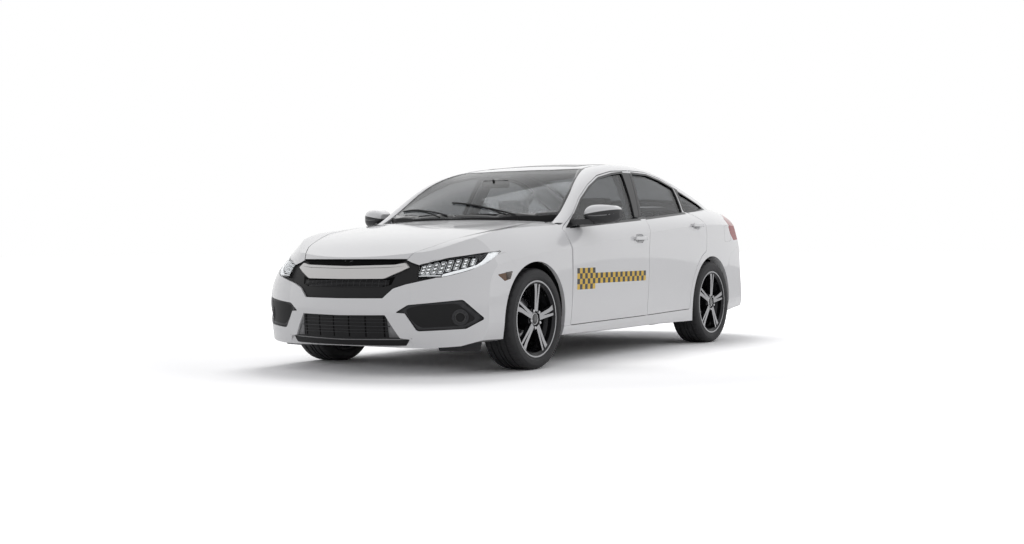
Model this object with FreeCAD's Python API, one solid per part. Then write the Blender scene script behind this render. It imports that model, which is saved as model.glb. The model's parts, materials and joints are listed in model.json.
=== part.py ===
"""Four-door saloon taxi cab, built as separate panels and running gear.

Units are millimetres. +X is the car's left, -Y its front, +Z up. The origin is on the
ground under the middle of the car. Outlines are written for the left side and mirrored.
"""

import FreeCAD
import Part
import math
import os
from FreeCAD import Vector

# ---------------------------------------------------------------- driving dimensions
LENGTH = 4630.0
WHEELBASE = 2700.0
FRONT_OVERHANG = 895.0
ROOF_HEIGHT = 1416.0
HALF_BODY = 888.0  # half width over the door skins

NOSE = -LENGTH / 2
TAIL = LENGTH / 2
FRONT_AXLE = NOSE + FRONT_OVERHANG
REAR_AXLE = FRONT_AXLE + WHEELBASE
MID = (FRONT_AXLE + REAR_AXLE) / 2  # half way between the axles

# walls and running clearances
DOOR_WALL = 92.0
FRAME_WALL = 38.0
ROOF_WALL = 30.0
PANEL_WALL = 26.0
BUMPER_WALL = 40.0
FLOOR_WALL = 26.0
LID_WALL = 32.0
TRIM_WALL = 22.0
GLASS_WALL = 5.0
GLASS_INSET = 10.0
SHUT_GAP = 5.0  # round every moving panel
JOIN_GAP = 0.8  # between fixed panels
SEAT_GAP = 0.3  # between curved faces that rest on each other
PIN_GAP = 0.1  # radial, round a hinge pin or shaft

# wheels
TYRE_RADIUS = 323.0
TYRE_WIDTH = 235.0
RIM_RADIUS = 246.0
BEAD_RADIUS = 228.0
TYRE_FIT = 0.6  # between the rim and the tyre
SPINDLE_FIT = 0.25  # radial, between a wheel's bore and its spindle
FRONT_TRACK = 1547.0
REAR_TRACK = 1563.0
KINGPIN_X = 700.0
TURNING_REACH = 378.0  # from the kingpin to a turned tyre's far corner, with the running gap
ARCH_RADIUS = 362.0
AXLE_HEIGHT = TYRE_RADIUS

# ---------------------------------------------------------------- small tools


def mirror(shape):
    """The same shape on the car's other side."""
    return shape.mirror(Vector(0, 0, 0), Vector(1, 0, 0))


def both(shape):
    """A left-side shape and its mirror image as one compound."""
    return Part.makeCompound([shape, mirror(shape)])


def line(a, b):
    return Part.LineSegment(a, b).toShape()


def arc(a, middle, b):
    return Part.Arc(a, middle, b).toShape()


def bowed(a, b, bow):
    """Arc from a to b that stands out by the vector bow at its middle."""
    return arc(a, (a + b) * 0.5 + bow, b)


def grow(points, distance):
    """A polygon with every side moved out by distance; corner radii follow. Items are (u, v, radius)."""
    count = len(points)
    area = sum(
        points[i][0] * points[(i + 1) % count][1] - points[(i + 1) % count][0] * points[i][1]
        for i in range(count)
    )
    turn = 1.0 if area > 0 else -1.0
    grown = []
    for i in range(count):
        before, here, after = points[i - 1], points[i], points[(i + 1) % count]
        in_u, in_v = here[0] - before[0], here[1] - before[1]
        out_u, out_v = after[0] - here[0], after[1] - here[1]
        in_length, out_length = math.hypot(in_u, in_v), math.hypot(out_u, out_v)
        in_normal = (turn * in_v / in_length, -turn * in_u / in_length)
        out_normal = (turn * out_v / out_length, -turn * out_u / out_length)
        scale = distance / (1 + in_normal[0] * out_normal[0] + in_normal[1] * out_normal[1])
        convex = turn * (in_u * out_v - in_v * out_u) > 0
        radius = here[2] + distance if convex else here[2] - distance
        grown.append(
            (
                here[0] + scale * (in_normal[0] + out_normal[0]),
                here[1] + scale * (in_normal[1] + out_normal[1]),
                max(radius, 0.0) if here[2] > 0 else 0.0,
            )
        )
    return grown


def outline(points, place):
    """Closed wire round (u, v, radius) corners; place(u, v) puts a point in space."""
    count = len(points)
    ends = []
    for i in range(count):
        before, here, after = points[i - 1], points[i], points[(i + 1) % count]
        corner = Vector(here[0], here[1], 0)
        back = Vector(before[0], before[1], 0) - corner
        ahead = Vector(after[0], after[1], 0) - corner
        angle = back.getAngle(ahead)
        radius = here[2]
        if radius <= 0.01 or abs(math.pi - angle) < 0.02:
            ends.append((corner, None, corner))
            continue
        reach = radius / math.tan(angle / 2)
        limit = 0.48 * min(back.Length, ahead.Length)
        if reach > limit:
            reach = limit
            radius = reach * math.tan(angle / 2)
        start = corner + back.normalize() * reach
        end = corner + ahead.normalize() * reach
        inward = (back + ahead).normalize()
        middle = corner + inward * (radius / math.sin(angle / 2) - radius)
        ends.append((start, middle, end))
    edges = []
    for i in range(count):
        start, middle, end = ends[i]
        if middle is not None:
            edges.append(arc(place(start.x, start.y), place(middle.x, middle.y), place(end.x, end.y)))
        following = ends[(i + 1) % count][0]
        if (following - end).Length > 0.01:
            edges.append(line(place(end.x, end.y), place(following.x, following.y)))
    return Part.Wire(edges)


def square(points):
    """(u, v) corners with no rounding."""
    return [(u, v, 0.0) for u, v in points]


def side_prism(points, x_from, x_to, lean=0.0):
    """Prism on a (y, z) outline seen from the side; lean moves it back by that share of its depth in x."""
    face = Part.Face(outline(points, lambda u, v: Vector(x_from, u + lean * (x_from - HALF_BODY), v)))
    return face.extrude(Vector(x_to - x_from, lean * (x_to - x_from), 0))


def plan_prism(points, z_from, z_to):
    """Prism on an (x, y) outline seen from above."""
    face = Part.Face(outline(points, lambda u, v: Vector(u, v, z_from)))
    return face.extrude(Vector(0, 0, z_to - z_from))


def front_prism(points, y_from, y_to):
    """Prism on an (x, z) outline seen from the front."""
    face = Part.Face(outline(points, lambda u, v: Vector(u, y_from, v)))
    return face.extrude(Vector(0, y_to - y_from, 0))


def turned_prism(points, angle, near, far):
    """Prism on a (u, z) outline seen from the front quarter, angle degrees round from straight ahead.

    u runs across that view to the car's left and rear; near and far are depths along the view.
    """
    c, s = math.cos(math.radians(angle)), math.sin(math.radians(angle))
    face = Part.Face(outline(points, lambda u, v: Vector(u * c - near * s, u * s + near * c, v)))
    return face.extrude(Vector(-s, c, 0) * (far - near))


def box(x, y, z):
    """Box from three (low, high) pairs."""
    return Part.makeBox(x[1] - x[0], y[1] - y[0], z[1] - z[0], Vector(x[0], y[0], z[0]))


def rod(start, end, radius):
    """Round bar between two points."""
    along = end - start
    return Part.makeCylinder(radius, along.Length, start, along)


def solids_of(shape, smallest=2000.0):
    """The shape's solids, without slivers, as one shape."""
    kept = [s for s in shape.Solids if s.Volume > smallest]
    return kept[0] if len(kept) == 1 else Part.makeCompound(kept)


# ---------------------------------------------------------------- outer surfaces

# Lower body sections, half of each. Columns: station y, bottom half width, bottom z,
# skirt x and z, lower crease x and z, waist crease x and z, crown x and z, bonnet crease x and z,
# centre z.
LOWER_SECTIONS = [
    (NOSE - 120, 700, 196, 770, 218, 800, 330, 775, 560, 660, 640, 380, 652, 660),
    (NOSE + 320, 740, 196, 832, 220, 862, 330, 850, 650, 650, 782, 500, 796, 812),
    (NOSE + 675, 750, 190, 852, 212, 878, 330, 870, 705, 716, 884, 600, 876, 893),
    (FRONT_AXLE, 760, 180, 862, 205, 886, 330, 884, 735, 742, 905, 630, 906, 925),
    (FRONT_AXLE + 470, 770, 185, 864, 200, 872, 265, HALF_BODY - 2, 770, 792, 927, 660, 955, 985),
    (MID - 130, 770, 185, 864, 198, 874, 310, HALF_BODY, 838, 806, 962, 700, 985, 1000),
    (MID + 560, 770, 185, 866, 198, 884, 386, HALF_BODY - 1, 898, 796, 1008, 690, 1030, 1040),
    (REAR_AXLE, 770, 185, 868, 200, 890, 330, HALF_BODY - 6, 940, 752, 1050, 640, 1080, 1090),
    (REAR_AXLE + 560, 740, 222, 838, 252, 866, 340, 850, 930, 655, 1066, 540, 1090, 1102),
    (TAIL - 120, 700, 240, 800, 272, 832, 350, 800, 890, 590, 1012, 480, 1048, 1064),
    (TAIL + 120, 690, 250, 780, 285, 800, 350, 760, 850, 560, 960, 450, 1010, 1030),
]

# Plan outlines of nose and tail. Columns: level z; foremost y, corner x and set back;
# rearmost y, corner x and set back.
PLAN_LEVELS = [
    (100, NOSE + 70, 770, 205, TAIL - 150, 750, 105),
    (230, NOSE + 12, 786, 265, TAIL - 60, 760, 178),
    (374, NOSE, 806, 280, TAIL - 17, 764, 222),
    (480, NOSE + 6, 808, 280, TAIL - 1, 762, 240),
    (600, NOSE + 34, 797, 285, TAIL - 7, 760, 245),
    (715, NOSE + 98, 770, 310, TAIL - 34, 758, 232),
    (860, NOSE + 220, 738, 350, TAIL - 78, 738, 226),
    (1000, NOSE + 350, 712, 380, TAIL - 112, 700, 220),
    (1250, NOSE + 560, 690, 400, TAIL - 150, 680, 220),
]
# First arc of the nose and of the tail ends at (half width, set back); the outlines are full width
# this far back.
NOSE_ARC = (480, 88)
TAIL_ARC = (520, 88)
FULL_WIDTH = 930
NOSE_RUN = 780
TAIL_RUN = 670

# Upper body sections, half of each. Columns: station y, foot x and z, belt x and z, rail outer x and z,
# rail inner x and z, rail bow outwards and upwards, centre z.
CABIN_SECTIONS = [
    (FRONT_AXLE + 160, 850, 700, 838, 745, 822, 800, 745, 815, 10, 8, 880),
    (FRONT_AXLE + 440, 838, 740, 826, 820, 800, 900, 722, 932, 12, 10, 1045),
    (FRONT_AXLE + 620, 830, 760, 806, 905, 785, 992, 700, 1020, 13, 12, 1150),
    (FRONT_AXLE + 820, 826, 770, 790, 940, 735, 1118, 662, 1154, 14, 12, 1236),
    (FRONT_AXLE + 1020, 824, 780, 780, 965, 690, 1214, 604, 1268, 15, 12, 1302),
    (FRONT_AXLE + 1290, 822, 780, 780, 975, 644, 1300, 520, 1346, 15, 14, 1366),
    (MID + 300, 820, 780, 778, 985, 628, 1338, 492, 1386, 15, 12, ROOF_HEIGHT - 9),
    (MID + 900, 815, 790, 770, 1010, 628, 1312, 492, 1362, 15, 12, ROOF_HEIGHT - 20),
    (MID + 1200, 805, 800, 762, 1030, 664, 1226, 536, 1280, 15, 14, 1344),
    (REAR_AXLE + 220, 790, 800, 745, 1000, 700, 1100, 585, 1160, 15, 14, 1236),
    (REAR_AXLE + 520, 765, 760, 725, 930, 690, 1005, 600, 1055, 12, 10, 1108),
    (REAR_AXLE + 800, 740, 700, 715, 820, 685, 900, 600, 940, 10, 8, 970),
]


def closed_section(y, half, top):
    """Closed wire at station y from a left half, bottom to top, and one arc over the top.

    half is [(x, z, bow in x, bow in z)]; each bow shapes the span that follows its corner.
    """
    left = [Vector(x, y, z) for x, z, _, _ in half]
    right = [Vector(-p.x, y, p.z) for p in left]
    edges = [line(right[0], left[0])]
    for i in range(len(half) - 1):
        edges.append(bowed(left[i], left[i + 1], Vector(half[i][2], 0, half[i][3])))
    edges.append(arc(left[-1], Vector(0, y, top), right[-1]))
    for i in range(len(half) - 1, 0, -1):
        edges.append(bowed(right[i], right[i - 1], Vector(-half[i - 1][2], 0, half[i - 1][3])))
    return Part.Wire(edges)


def lower_body(side=0.0, top=0.0, bottom=0.0, ends=0.0):
    """Solid inside the lower body's skin, set in by these distances."""
    wires = []
    for y, xb, zb, xs, zs, xl, zl, xw, zw, xe, ze, xh, zh, zt in LOWER_SECTIONS:
        half = [
            (xb - side, zb + bottom, 2, -2),
            (xs - side, zs + bottom, 3, -1),
            (xl - side, zl, 9, 0),
            (xw - side, zw, 7, 9),
            (xe - side, ze - top, -2, 3),
            (xh - side, zh - top, 0, 0),
        ]
        wires.append(closed_section(y, half, zt - top))
    along = Part.makeLoft(wires, True, False)
    rings = []
    for z, front, nose_x, nose_back, rear, tail_x, tail_back in PLAN_LEVELS:
        front, rear = front + ends, rear - ends
        nose_steps = (NOSE_ARC, (nose_x, nose_back), (FULL_WIDTH, NOSE_RUN))
        tail_steps = (TAIL_ARC, (tail_x, tail_back), (FULL_WIDTH, TAIL_RUN))
        nose = [(x - ends, front + back) for x, back in nose_steps]
        tail = [(x - ends, rear - back) for x, back in tail_steps]
        n = [Vector(x, y, z) for x, y in nose]
        t = [Vector(x, y, z) for x, y in tail]
        m = [Vector(-p.x, p.y, p.z) for p in n]
        w = [Vector(-p.x, p.y, p.z) for p in t]
        rings.append(
            Part.Wire(
                [
                    arc(m[0], Vector(0, front, z), n[0]),
                    arc(n[0], n[1], n[2]),
                    line(n[2], t[2]),
                    arc(t[2], t[1], t[0]),
                    arc(t[0], Vector(0, rear, z), w[0]),
                    arc(w[0], w[1], w[2]),
                    line(w[2], m[2]),
                    arc(m[2], m[1], m[0]),
                ]
            )
        )
    upright = Part.makeLoft(rings, True, False)
    return along.common(upright)


def cabin_body(inset=0.0):
    """Solid inside the greenhouse's skin, set in by this distance."""
    wires = []
    for y, xf, zf, xb, zb, xo, zo, xi, zi, bow_x, bow_z, zt in CABIN_SECTIONS:
        half = [
            (xf - inset, zf, 3, 2),
            (xb - inset, zb, 8, 4),
            (xo - inset, zo - inset * 0.45, bow_x, bow_z),
            (xi - inset, zi - inset, 0, 0),
        ]
        wires.append(closed_section(y, half, zt - inset))
    return Part.makeLoft(wires, True, False)


OUTER_LOWER = lower_body()
OUTER_CABIN = cabin_body()
OUTER = OUTER_LOWER.fuse(OUTER_CABIN)
# Whole side walls, open above the belt line except for the pillars and roof.
WALLS = OUTER.cut(lower_body(side=DOOR_WALL, top=-30, bottom=FLOOR_WALL, ends=BUMPER_WALL))
WALLS = WALLS.cut(cabin_body(FRAME_WALL))
# Thin skins.
SKIN = OUTER_LOWER.cut(lower_body(PANEL_WALL, PANEL_WALL, PANEL_WALL, PANEL_WALL))
BUMPER = OUTER_LOWER.cut(lower_body(PANEL_WALL, PANEL_WALL, PANEL_WALL, BUMPER_WALL))
LID_SKIN = OUTER_LOWER.cut(lower_body(LID_WALL, LID_WALL, LID_WALL, LID_WALL))
ROOF = OUTER_CABIN.cut(cabin_body(ROOF_WALL))
TOP = OUTER.cut(lower_body(TRIM_WALL, TRIM_WALL, TRIM_WALL, TRIM_WALL)).cut(cabin_body(TRIM_WALL))

FAR = 1300.0  # beyond any side of the car
LOW, HIGH = 100.0, 1600.0  # below and above it
LEFT_HALF = box((0.3, FAR), (NOSE - 200, TAIL + 200), (LOW, HIGH))


def lower_layer(outer, inner):
    """The lower body's skin between two depths."""
    return lower_body(outer, outer, outer, outer).cut(lower_body(inner, inner, inner, inner))


def cabin_layer(outer, inner):
    """The greenhouse's skin between two depths."""
    return cabin_body(outer).cut(cabin_body(inner))


def symmetric(points):
    """A full outline from its left half, whose first and last points lie on the centre line."""
    return points + [(-u, v, r) for u, v, r in points[-2:0:-1]]


# ---------------------------------------------------------------- outlines of openings and seams
# Side view points are (y, z, corner radius), plan points (x, y, radius), front points (x, z, radius).

SILL_LINE = 262.0  # bottom edge of the doors
FRONT_SHUT = FRONT_AXLE + 454  # front edge of the front doors
PILLAR = MID + 225  # rear edge of the front doors below the belt
DOOR_LEAN = 0.28  # rearward slant of the shut faces, so that a door's rear edge swings clear
# Half width of the skin at each height along the shut lines.
SKIN_AT = [(770, HALF_BODY), (896, 830), (985, 778), (1118, 735), (1213, 690), (1300, 644), (1400, 590)]


def skin_x(z):
    """Half width of the car's side at this height."""
    if z <= SKIN_AT[0][0]:
        return SKIN_AT[0][1]
    for (low, wide), (high, narrow) in zip(SKIN_AT, SKIN_AT[1:]):
        if z <= high:
            return wide + (narrow - wide) * (z - low) / (high - low)
    return SKIN_AT[-1][1]


def slanted(points):
    """A shut line drawn on the skin, moved to where a leaning prism starts."""
    return [(y + DOOR_LEAN * (HALF_BODY - skin_x(z)), z, r) for y, z, r in points]


PILLAR_LINE = [
    (PILLAR + 190, 1342, 10),
    (PILLAR + 68, 984, 40),
    (PILLAR + 15, 860, 60),
    (PILLAR, 730, 60),
    (PILLAR, SILL_LINE + 12, 14),
]
FRONT_DOOR = [
    (FRONT_SHUT, SILL_LINE, 14),
    (FRONT_SHUT - 2, 896, 8),
    (FRONT_AXLE + 622, 990, 60),
    (FRONT_AXLE + 820, 1118, 200),
    (FRONT_AXLE + 1020, 1213, 200),
    (FRONT_AXLE + 1230, 1286, 200),
    (FRONT_AXLE + 1480, 1327, 200),
] + PILLAR_LINE
FRONT_DOOR = slanted(FRONT_DOOR)
# Rear door from the roof round its rear edge to the sill; the lower part runs round the wheel arch.
REAR_DOOR = slanted(
    [(y + SHUT_GAP, z, r) for y, z, r in PILLAR_LINE[::-1]]
    + [(PILLAR + 480, 1340, 200), (REAR_AXLE - 420, 1301, 200), (REAR_AXLE - 234, 1245, 12)]
    + [(REAR_AXLE - 258, 1052, 40), (REAR_AXLE - 128, 968, 60), (REAR_AXLE - 104, 860, 80)]
    + [(REAR_AXLE - 112, 738, 30), (REAR_AXLE - 210, 690, 120), (REAR_AXLE - 300, 617, 120)]
    + [(REAR_AXLE - 374, 510, 120), (REAR_AXLE - 408, 406, 120), (REAR_AXLE - 413, SILL_LINE + 26, 14)]
)
FRONT_GLASS = [
    (FRONT_AXLE + 582, 920, 6),
    (FRONT_AXLE + 634, 972, 30),
    (FRONT_AXLE + 832, 1098, 200),
    (FRONT_AXLE + 1030, 1191, 200),
    (FRONT_AXLE + 1238, 1263, 200),
    (FRONT_AXLE + 1484, 1303, 200),
    (PILLAR + 66, 1318, 14),
    (PILLAR - 2, 980, 14),
]
REAR_GLASS = [
    (PILLAR + 110, 988, 14),
    (PILLAR + 226, 1319, 14),
    (PILLAR + 480, 1316, 200),
    (REAR_AXLE - 430, 1278, 200),
    (REAR_AXLE - 262, 1228, 14),
    (REAR_AXLE - 286, 1038, 14),
]
QUARTER_GLASS = [
    (REAR_AXLE - 224, 1046, 10),
    (REAR_AXLE - 200, 1204, 12),
    (REAR_AXLE - 60, 1158, 100),
    (REAR_AXLE + 90, 1110, 60),
    (REAR_AXLE + 176, 1076, 5),
]

# Everything between the roof ditches, from above: half widths from nose to tail.
DITCH = [
    (745, FRONT_AXLE + 160, 0),
    (722, FRONT_AXLE + 440, 100),
    (700, FRONT_AXLE + 620, 100),
    (662, FRONT_AXLE + 820, 200),
    (604, FRONT_AXLE + 1020, 200),
    (520, FRONT_AXLE + 1290, 120),
    (494, MID + 250, 400),
    (494, MID + 900, 400),
    (536, MID + 1200, 400),
    (582, REAR_AXLE + 220, 400),
    (596, REAR_AXLE + 400, 20),
    (566, REAR_AXLE + 470, 20),
    (566, TAIL + 100, 0),
]
CENTRE_STRIP = symmetric([(0, FRONT_AXLE + 160, 0)] + DITCH + [(0, TAIL + 100, 0)])
# Cross seams of the centre strip, from above: half curves from the centre line outwards.
HOOD_REAR = [(0, FRONT_AXLE + 300), (380, FRONT_AXLE + 335), (708, FRONT_AXLE + 424)]
GLASS_FOOT = [(0, FRONT_AXLE + 340), (350, FRONT_AXLE + 376), (600, FRONT_AXLE + 492)]
GLASS_FOOT += [(760, FRONT_AXLE + 640)]
GLASS_HEAD = [(0, FRONT_AXLE + 1168), (300, FRONT_AXLE + 1196), (520, FRONT_AXLE + 1284)]
GLASS_HEAD += [(760, FRONT_AXLE + 1400)]
BACK_HEAD = [(0, REAR_AXLE - 296), (300, REAR_AXLE - 312), (520, REAR_AXLE - 362), (760, REAR_AXLE - 440)]
BACK_FOOT = [(0, REAR_AXLE + 434), (350, REAR_AXLE + 420), (560, REAR_AXLE + 372), (760, REAR_AXLE + 300)]
LID_FRONT = REAR_AXLE + 476


def band(front, rear, shift=JOIN_GAP / 2):
    """Vertical prism between two cross seams, drawn in a little from each."""
    ahead = [(x, y + shift, 160) for x, y in front]
    behind = [(x, y - shift, 160) for x, y in rear[::-1]]
    ahead[0], behind[-1] = (0, front[0][1] + shift, 0), (0, rear[0][1] - shift, 0)
    ahead[-1] = (front[-1][0], front[-1][1] + shift, 0)
    behind[0] = (rear[-1][0], rear[-1][1] - shift, 0)
    return plan_prism(symmetric(ahead + behind), 600, HIGH)


STRIP = plan_prism(grow(CENTRE_STRIP, -JOIN_GAP / 2), 600, HIGH)

HOOD_CORNER = 702.0  # x of the bonnet's rear corner
HOOD_PLAN = symmetric(
    [(0, NOSE - 60, 0), (398, NOSE - 60, 0), (402, NOSE + 158, 60), (500, NOSE + 312, 200)]
    + [(628, FRONT_AXLE - 215, 300), (676, FRONT_AXLE + 340, 300), (HOOD_CORNER + 4, FRONT_AXLE + 424, 10)]
    + [(380, FRONT_AXLE + 335, 200), (0, FRONT_AXLE + 300, 0)]
)
HOOD_LIP = 716.0  # underside of the bonnet over the slot
LAMP_ANGLE = 40.0
HEADLAMP = [  # across a view LAMP_ANGLE round from the front
    (-1020, 598, 6),
    (-1002, 680, 8),
    (-833, 719, 200),
    (-597, 750, 60),
    (-482, 762, 4),
    (-590, 688, 80),
    (-700, 646, 120),
    (-800, 620, 120),
    (-880, 604, 60),
]
GRILLE_BAR = symmetric(
    [(0, 595, 0), (296, 597, 60), (385, 638, 20), (434, 664, 4)]
    + [(402, 692, 10), (340, 681, 60), (0, 673, 0)]
)
GRILLE_FACE = symmetric(
    [(0, 477, 0), (303, 479, 12), (365, 538, 40), (440, 563, 80), (604, 600, 2)]
    + [(604, 642, 0), (445, 692, 10), (400, 711, 6), (0, 711, 0)]
)
LOWER_GRILLE = symmetric(
    [(0, 372, 0), (321, 376, 8), (408, 236, 10), (468, 228, 8), (500, 150, 0), (0, 150, 0)]
)
FOG_ANGLE = 30.0
FOG_PANEL = [
    (-794, 392, 3),
    (-716, 438, 40),
    (-380, 469, 30),
    (-250, 352, 10),
    (-362, 294, 30),
    (-660, 280, 30),
    (-735, 388, 12),
]
SIDE_MARKER = [(NOSE + 471, 615, 3), (NOSE + 625, 634, 3), (NOSE + 597, 587, 3), (NOSE + 537, 575, 3)]
FENDER = [
    (FRONT_SHUT - SHUT_GAP, SILL_LINE - 3, 0),
    (FRONT_SHUT - SHUT_GAP - 2, 1100, 0),
    (NOSE + 15, 1100, 0),
    (NOSE + 15, 627, 0),
    (NOSE + 609, 752, 0),
    (NOSE + 690, 590, 0),
    (FRONT_AXLE, AXLE_HEIGHT, 0),
    (FRONT_SHUT - 110, SILL_LINE - 3, 0),
]
FRONT_BUMPER = [
    (NOSE - 100, LOW, 0),
    (NOSE - 100, 603, 0),
    (NOSE + 609, 752 - JOIN_GAP, 0),
    (NOSE + 690 - JOIN_GAP, 590, 0),
    (FRONT_AXLE - JOIN_GAP, AXLE_HEIGHT, 0),
    (FRONT_AXLE - JOIN_GAP, LOW, 0),
]
TAIL_SEAM = [(REAR_AXLE + 280, 562, 0), (REAR_AXLE + 432, 712, 0), (REAR_AXLE + 756, 832, 0)]
LAMP_SEAM = [(REAR_AXLE + 756, 832, 0), (REAR_AXLE + 636, 1002, 0), (REAR_AXLE + 630, 1200, 0)]
SIDE_FRAME = (
    [(FRONT_SHUT - 110, LOW, 0), (FRONT_SHUT - 110, SILL_LINE - 4, 0)]
    + [(FRONT_SHUT - SHUT_GAP + 0.6, SILL_LINE - 4, 0), (FRONT_SHUT - SHUT_GAP - 1.4, 1100, 0)]
    + [(FRONT_SHUT, HIGH, 0), (LAMP_SEAM[2][0], HIGH, 0)]
    + LAMP_SEAM[::-1]
    + TAIL_SEAM[1::-1]
    + [(REAR_AXLE + 220, LOW, 0)]
)
REAR_BUMPER = (
    [(y + JOIN_GAP, z - JOIN_GAP, 0) for y, z, _ in TAIL_SEAM]
    + [(TAIL + 100, 832 - JOIN_GAP, 0), (TAIL + 100, LOW, 0), (REAR_AXLE + 220 + JOIN_GAP, LOW, 0)]
)
TAIL_LAMP = [(y + JOIN_GAP, z, 0) for y, z, _ in LAMP_SEAM] + [(TAIL + 100, 1200, 0), (TAIL + 100, 832, 0)]
LID_FACE = symmetric(
    [(0, 738, 0), (440, 738, 20), (560, 836, 20), (560, 1300, 0), (0, 1300, 0)]
)

# ---------------------------------------------------------------- wheel arches and hinges


def arch(axle, radius, x_from=300.0):
    return rod(Vector(x_from, axle, AXLE_HEIGHT + 4), Vector(FAR, axle, AXLE_HEIGHT + 4), radius)


STEER_ROOM = Part.makeCylinder(TURNING_REACH, 400, Vector(KINGPIN_X, FRONT_AXLE, LOW)).common(
    box((450, 790), (FRONT_AXLE - 500, FRONT_AXLE + 500), (LOW, 500))
)
ARCHES = arch(FRONT_AXLE, ARCH_RADIUS, 480).fuse([arch(REAR_AXLE, ARCH_RADIUS, 620), STEER_ROOM])

# Door hinges. Columns: pin x, pin y, lower and upper hinge height, x of the post's outer face.
HINGE_SETBACK = 80.0  # pin behind the door's front edge
HINGES = {
    "front": (858.0, FRONT_SHUT + HINGE_SETBACK, 400.0, 740.0, 712.0),
    "rear": (860.0, PILLAR + SHUT_GAP + HINGE_SETBACK, 420.0, 760.0, 712.0),
}
HINGE_PIN = 5.0
HINGE_EYE = 9.0
HINGE_HALF = 18.0
HINGE_SWEEP = 136.0  # swept by the door's inner front corner


def hinge_arms(key):
    """Two arms from the post, each with its eye and pin."""
    x, y, low, high, post = HINGES[key]
    made = []
    for z in (low, high):
        bar = box((post - 30, x), (y - 7, y + 7), (z - HINGE_HALF, z + HINGE_HALF))
        eye = Part.makeCylinder(HINGE_EYE, 2 * HINGE_HALF, Vector(x, y, z - HINGE_HALF))
        pin = Part.makeCylinder(HINGE_PIN, 2 * HINGE_HALF + 60, Vector(x, y, z - HINGE_HALF - 30))
        made.append(bar.fuse(eye).fuse(pin))
    return made


def hinge_pockets(key):
    """Room in the door for the arms, with bores for the pins above and below."""
    x, y, low, high, post = HINGES[key]
    made = []
    for z in (low, high):
        room = box((post - 60, x + 10.5), (y - 160, y + 14), (z - HINGE_HALF - 6, z + HINGE_HALF + 6))
        bore = Part.makeCylinder(
            HINGE_PIN + PIN_GAP - 0.03, 2 * HINGE_HALF + 66, Vector(x, y, z - HINGE_HALF - 33)
        )
        made.append(room.fuse(bore))
    return made


def hinge_sweep(key):
    """Space that the door's inner front corner needs behind its skin."""
    x, y, _, _, post = HINGES[key]
    sweep = Part.makeCylinder(HINGE_SWEEP, 700, Vector(x, y, 240))
    return sweep.common(box((post - 100, x - 70), (y - 200, y + 200), (LOW, 960)))


parts = {}


def keep(name, shape, smallest=2000.0):
    parts[name] = solids_of(shape, smallest)


# ---------------------------------------------------------------- doors, with glass and mirrors

LEFT_WALL = WALLS.common(LEFT_HALF)
GLASS_FACE = cabin_body(GLASS_INSET)
GLASS_BACK = cabin_body(GLASS_INSET + GLASS_WALL)
HANDLE_LENGTH = 190.0
CUP_RADIUS = 120.0
CUP_DEPTH = 18.0
# Columns: shut line, glass line, handle's middle y and z.
DOORS = {
    "front": (FRONT_DOOR, FRONT_GLASS, MID + 85, 834.0),
    "rear": (REAR_DOOR, REAR_GLASS, REAR_AXLE - 280, 936.0),
}


def handle(y, z):
    """Pull handle standing off the door skin on two feet."""
    half = HANDLE_LENGTH / 2
    grip = box((HALF_BODY + 14, HALF_BODY + 26), (y - half, y + half), (z - 13, z + 13))
    grip = grip.makeFillet(5.5, [e for e in grip.Edges if e.Length > 20])
    for side in (-1, 1):
        foot = y + side * (half - 20)
        grip = grip.fuse(box((HALF_BODY - 20, HALF_BODY + 18), (foot - 13, foot + 13), (z - 9, z + 9)))
    return grip


def handle_cup(y, z):
    """Finger room in the skin behind the handle."""
    cup = Part.makeSphere(CUP_RADIUS, Vector(HALF_BODY + CUP_RADIUS - CUP_DEPTH, y, z))
    return cup.common(side_prism([(y - 62, z - 34, 30), (y - 62, z + 30, 30), (y + 62, z + 30, 30)]
                                 + [(y + 62, z - 34, 30)], 800, FAR))


def side_glass(line_):
    return solids_of(GLASS_FACE.common(side_prism(line_, 300, FAR)).cut(GLASS_BACK))


for key, (shut_line, glass_line, y, z) in DOORS.items():
    leaf = LEFT_WALL.common(side_prism(shut_line, 300, FAR, DOOR_LEAN))
    leaf = leaf.cut(side_prism(grow(glass_line, SEAT_GAP), 300, FAR))
    leaf = leaf.cut(plan_prism(grow(CENTRE_STRIP, SHUT_GAP), 900, HIGH)).cut(handle_cup(y, z))
    for pocket in hinge_pockets(key):
        leaf = leaf.cut(pocket)
    leaf = solids_of(leaf.fuse(handle(y, z)))
    glass = side_glass(glass_line)
    parts["door_%s_left" % key], parts["door_%s_right" % key] = leaf, mirror(leaf)
    parts["window_%s_left" % key], parts["window_%s_right" % key] = glass, mirror(glass)

# Sections of the mirror housing. Columns: x, rear y, front y, lowest and highest z.
MIRROR_SECTIONS = [
    (862, MID - 572, MID - 692, 962, 1030),
    (900, MID - 564, MID - 712, 940, 1056),
    (970, MID - 552, MID - 706, 932, 1062),
    (1030, MID - 540, MID - 668, 940, 1056),
    (1060, MID - 532, MID - 622, 956, 1042),
    (1074, MID - 530, MID - 580, 978, 1020),
]
rings = []
for x, rear, front, low, high in MIRROR_SECTIONS:
    round_by = 0.42 * min(rear - front, high - low)
    corners = [(rear, low, 8), (rear, high, 8), (front, high, round_by), (front, low, round_by)]
    rings.append(outline(corners, lambda u, v: Vector(x, u, v)))
housing = Part.makeLoft(rings, True, False)
stalk = plan_prism(
    [
        (770, MID - 772, 0),
        (846, MID - 768, 20),
        (930, MID - 690, 30),
        (950, MID - 600, 20),
        (900, MID - 590, 20),
        (770, MID - 700, 0),
    ],
    928,
    964,
)
door_mirror = housing.fuse(stalk).cut(lower_body(-SEAT_GAP)).cut(cabin_body(-SEAT_GAP))
parts["mirror_left"] = solids_of(door_mirror)
parts["mirror_right"] = mirror(parts["mirror_left"])

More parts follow.
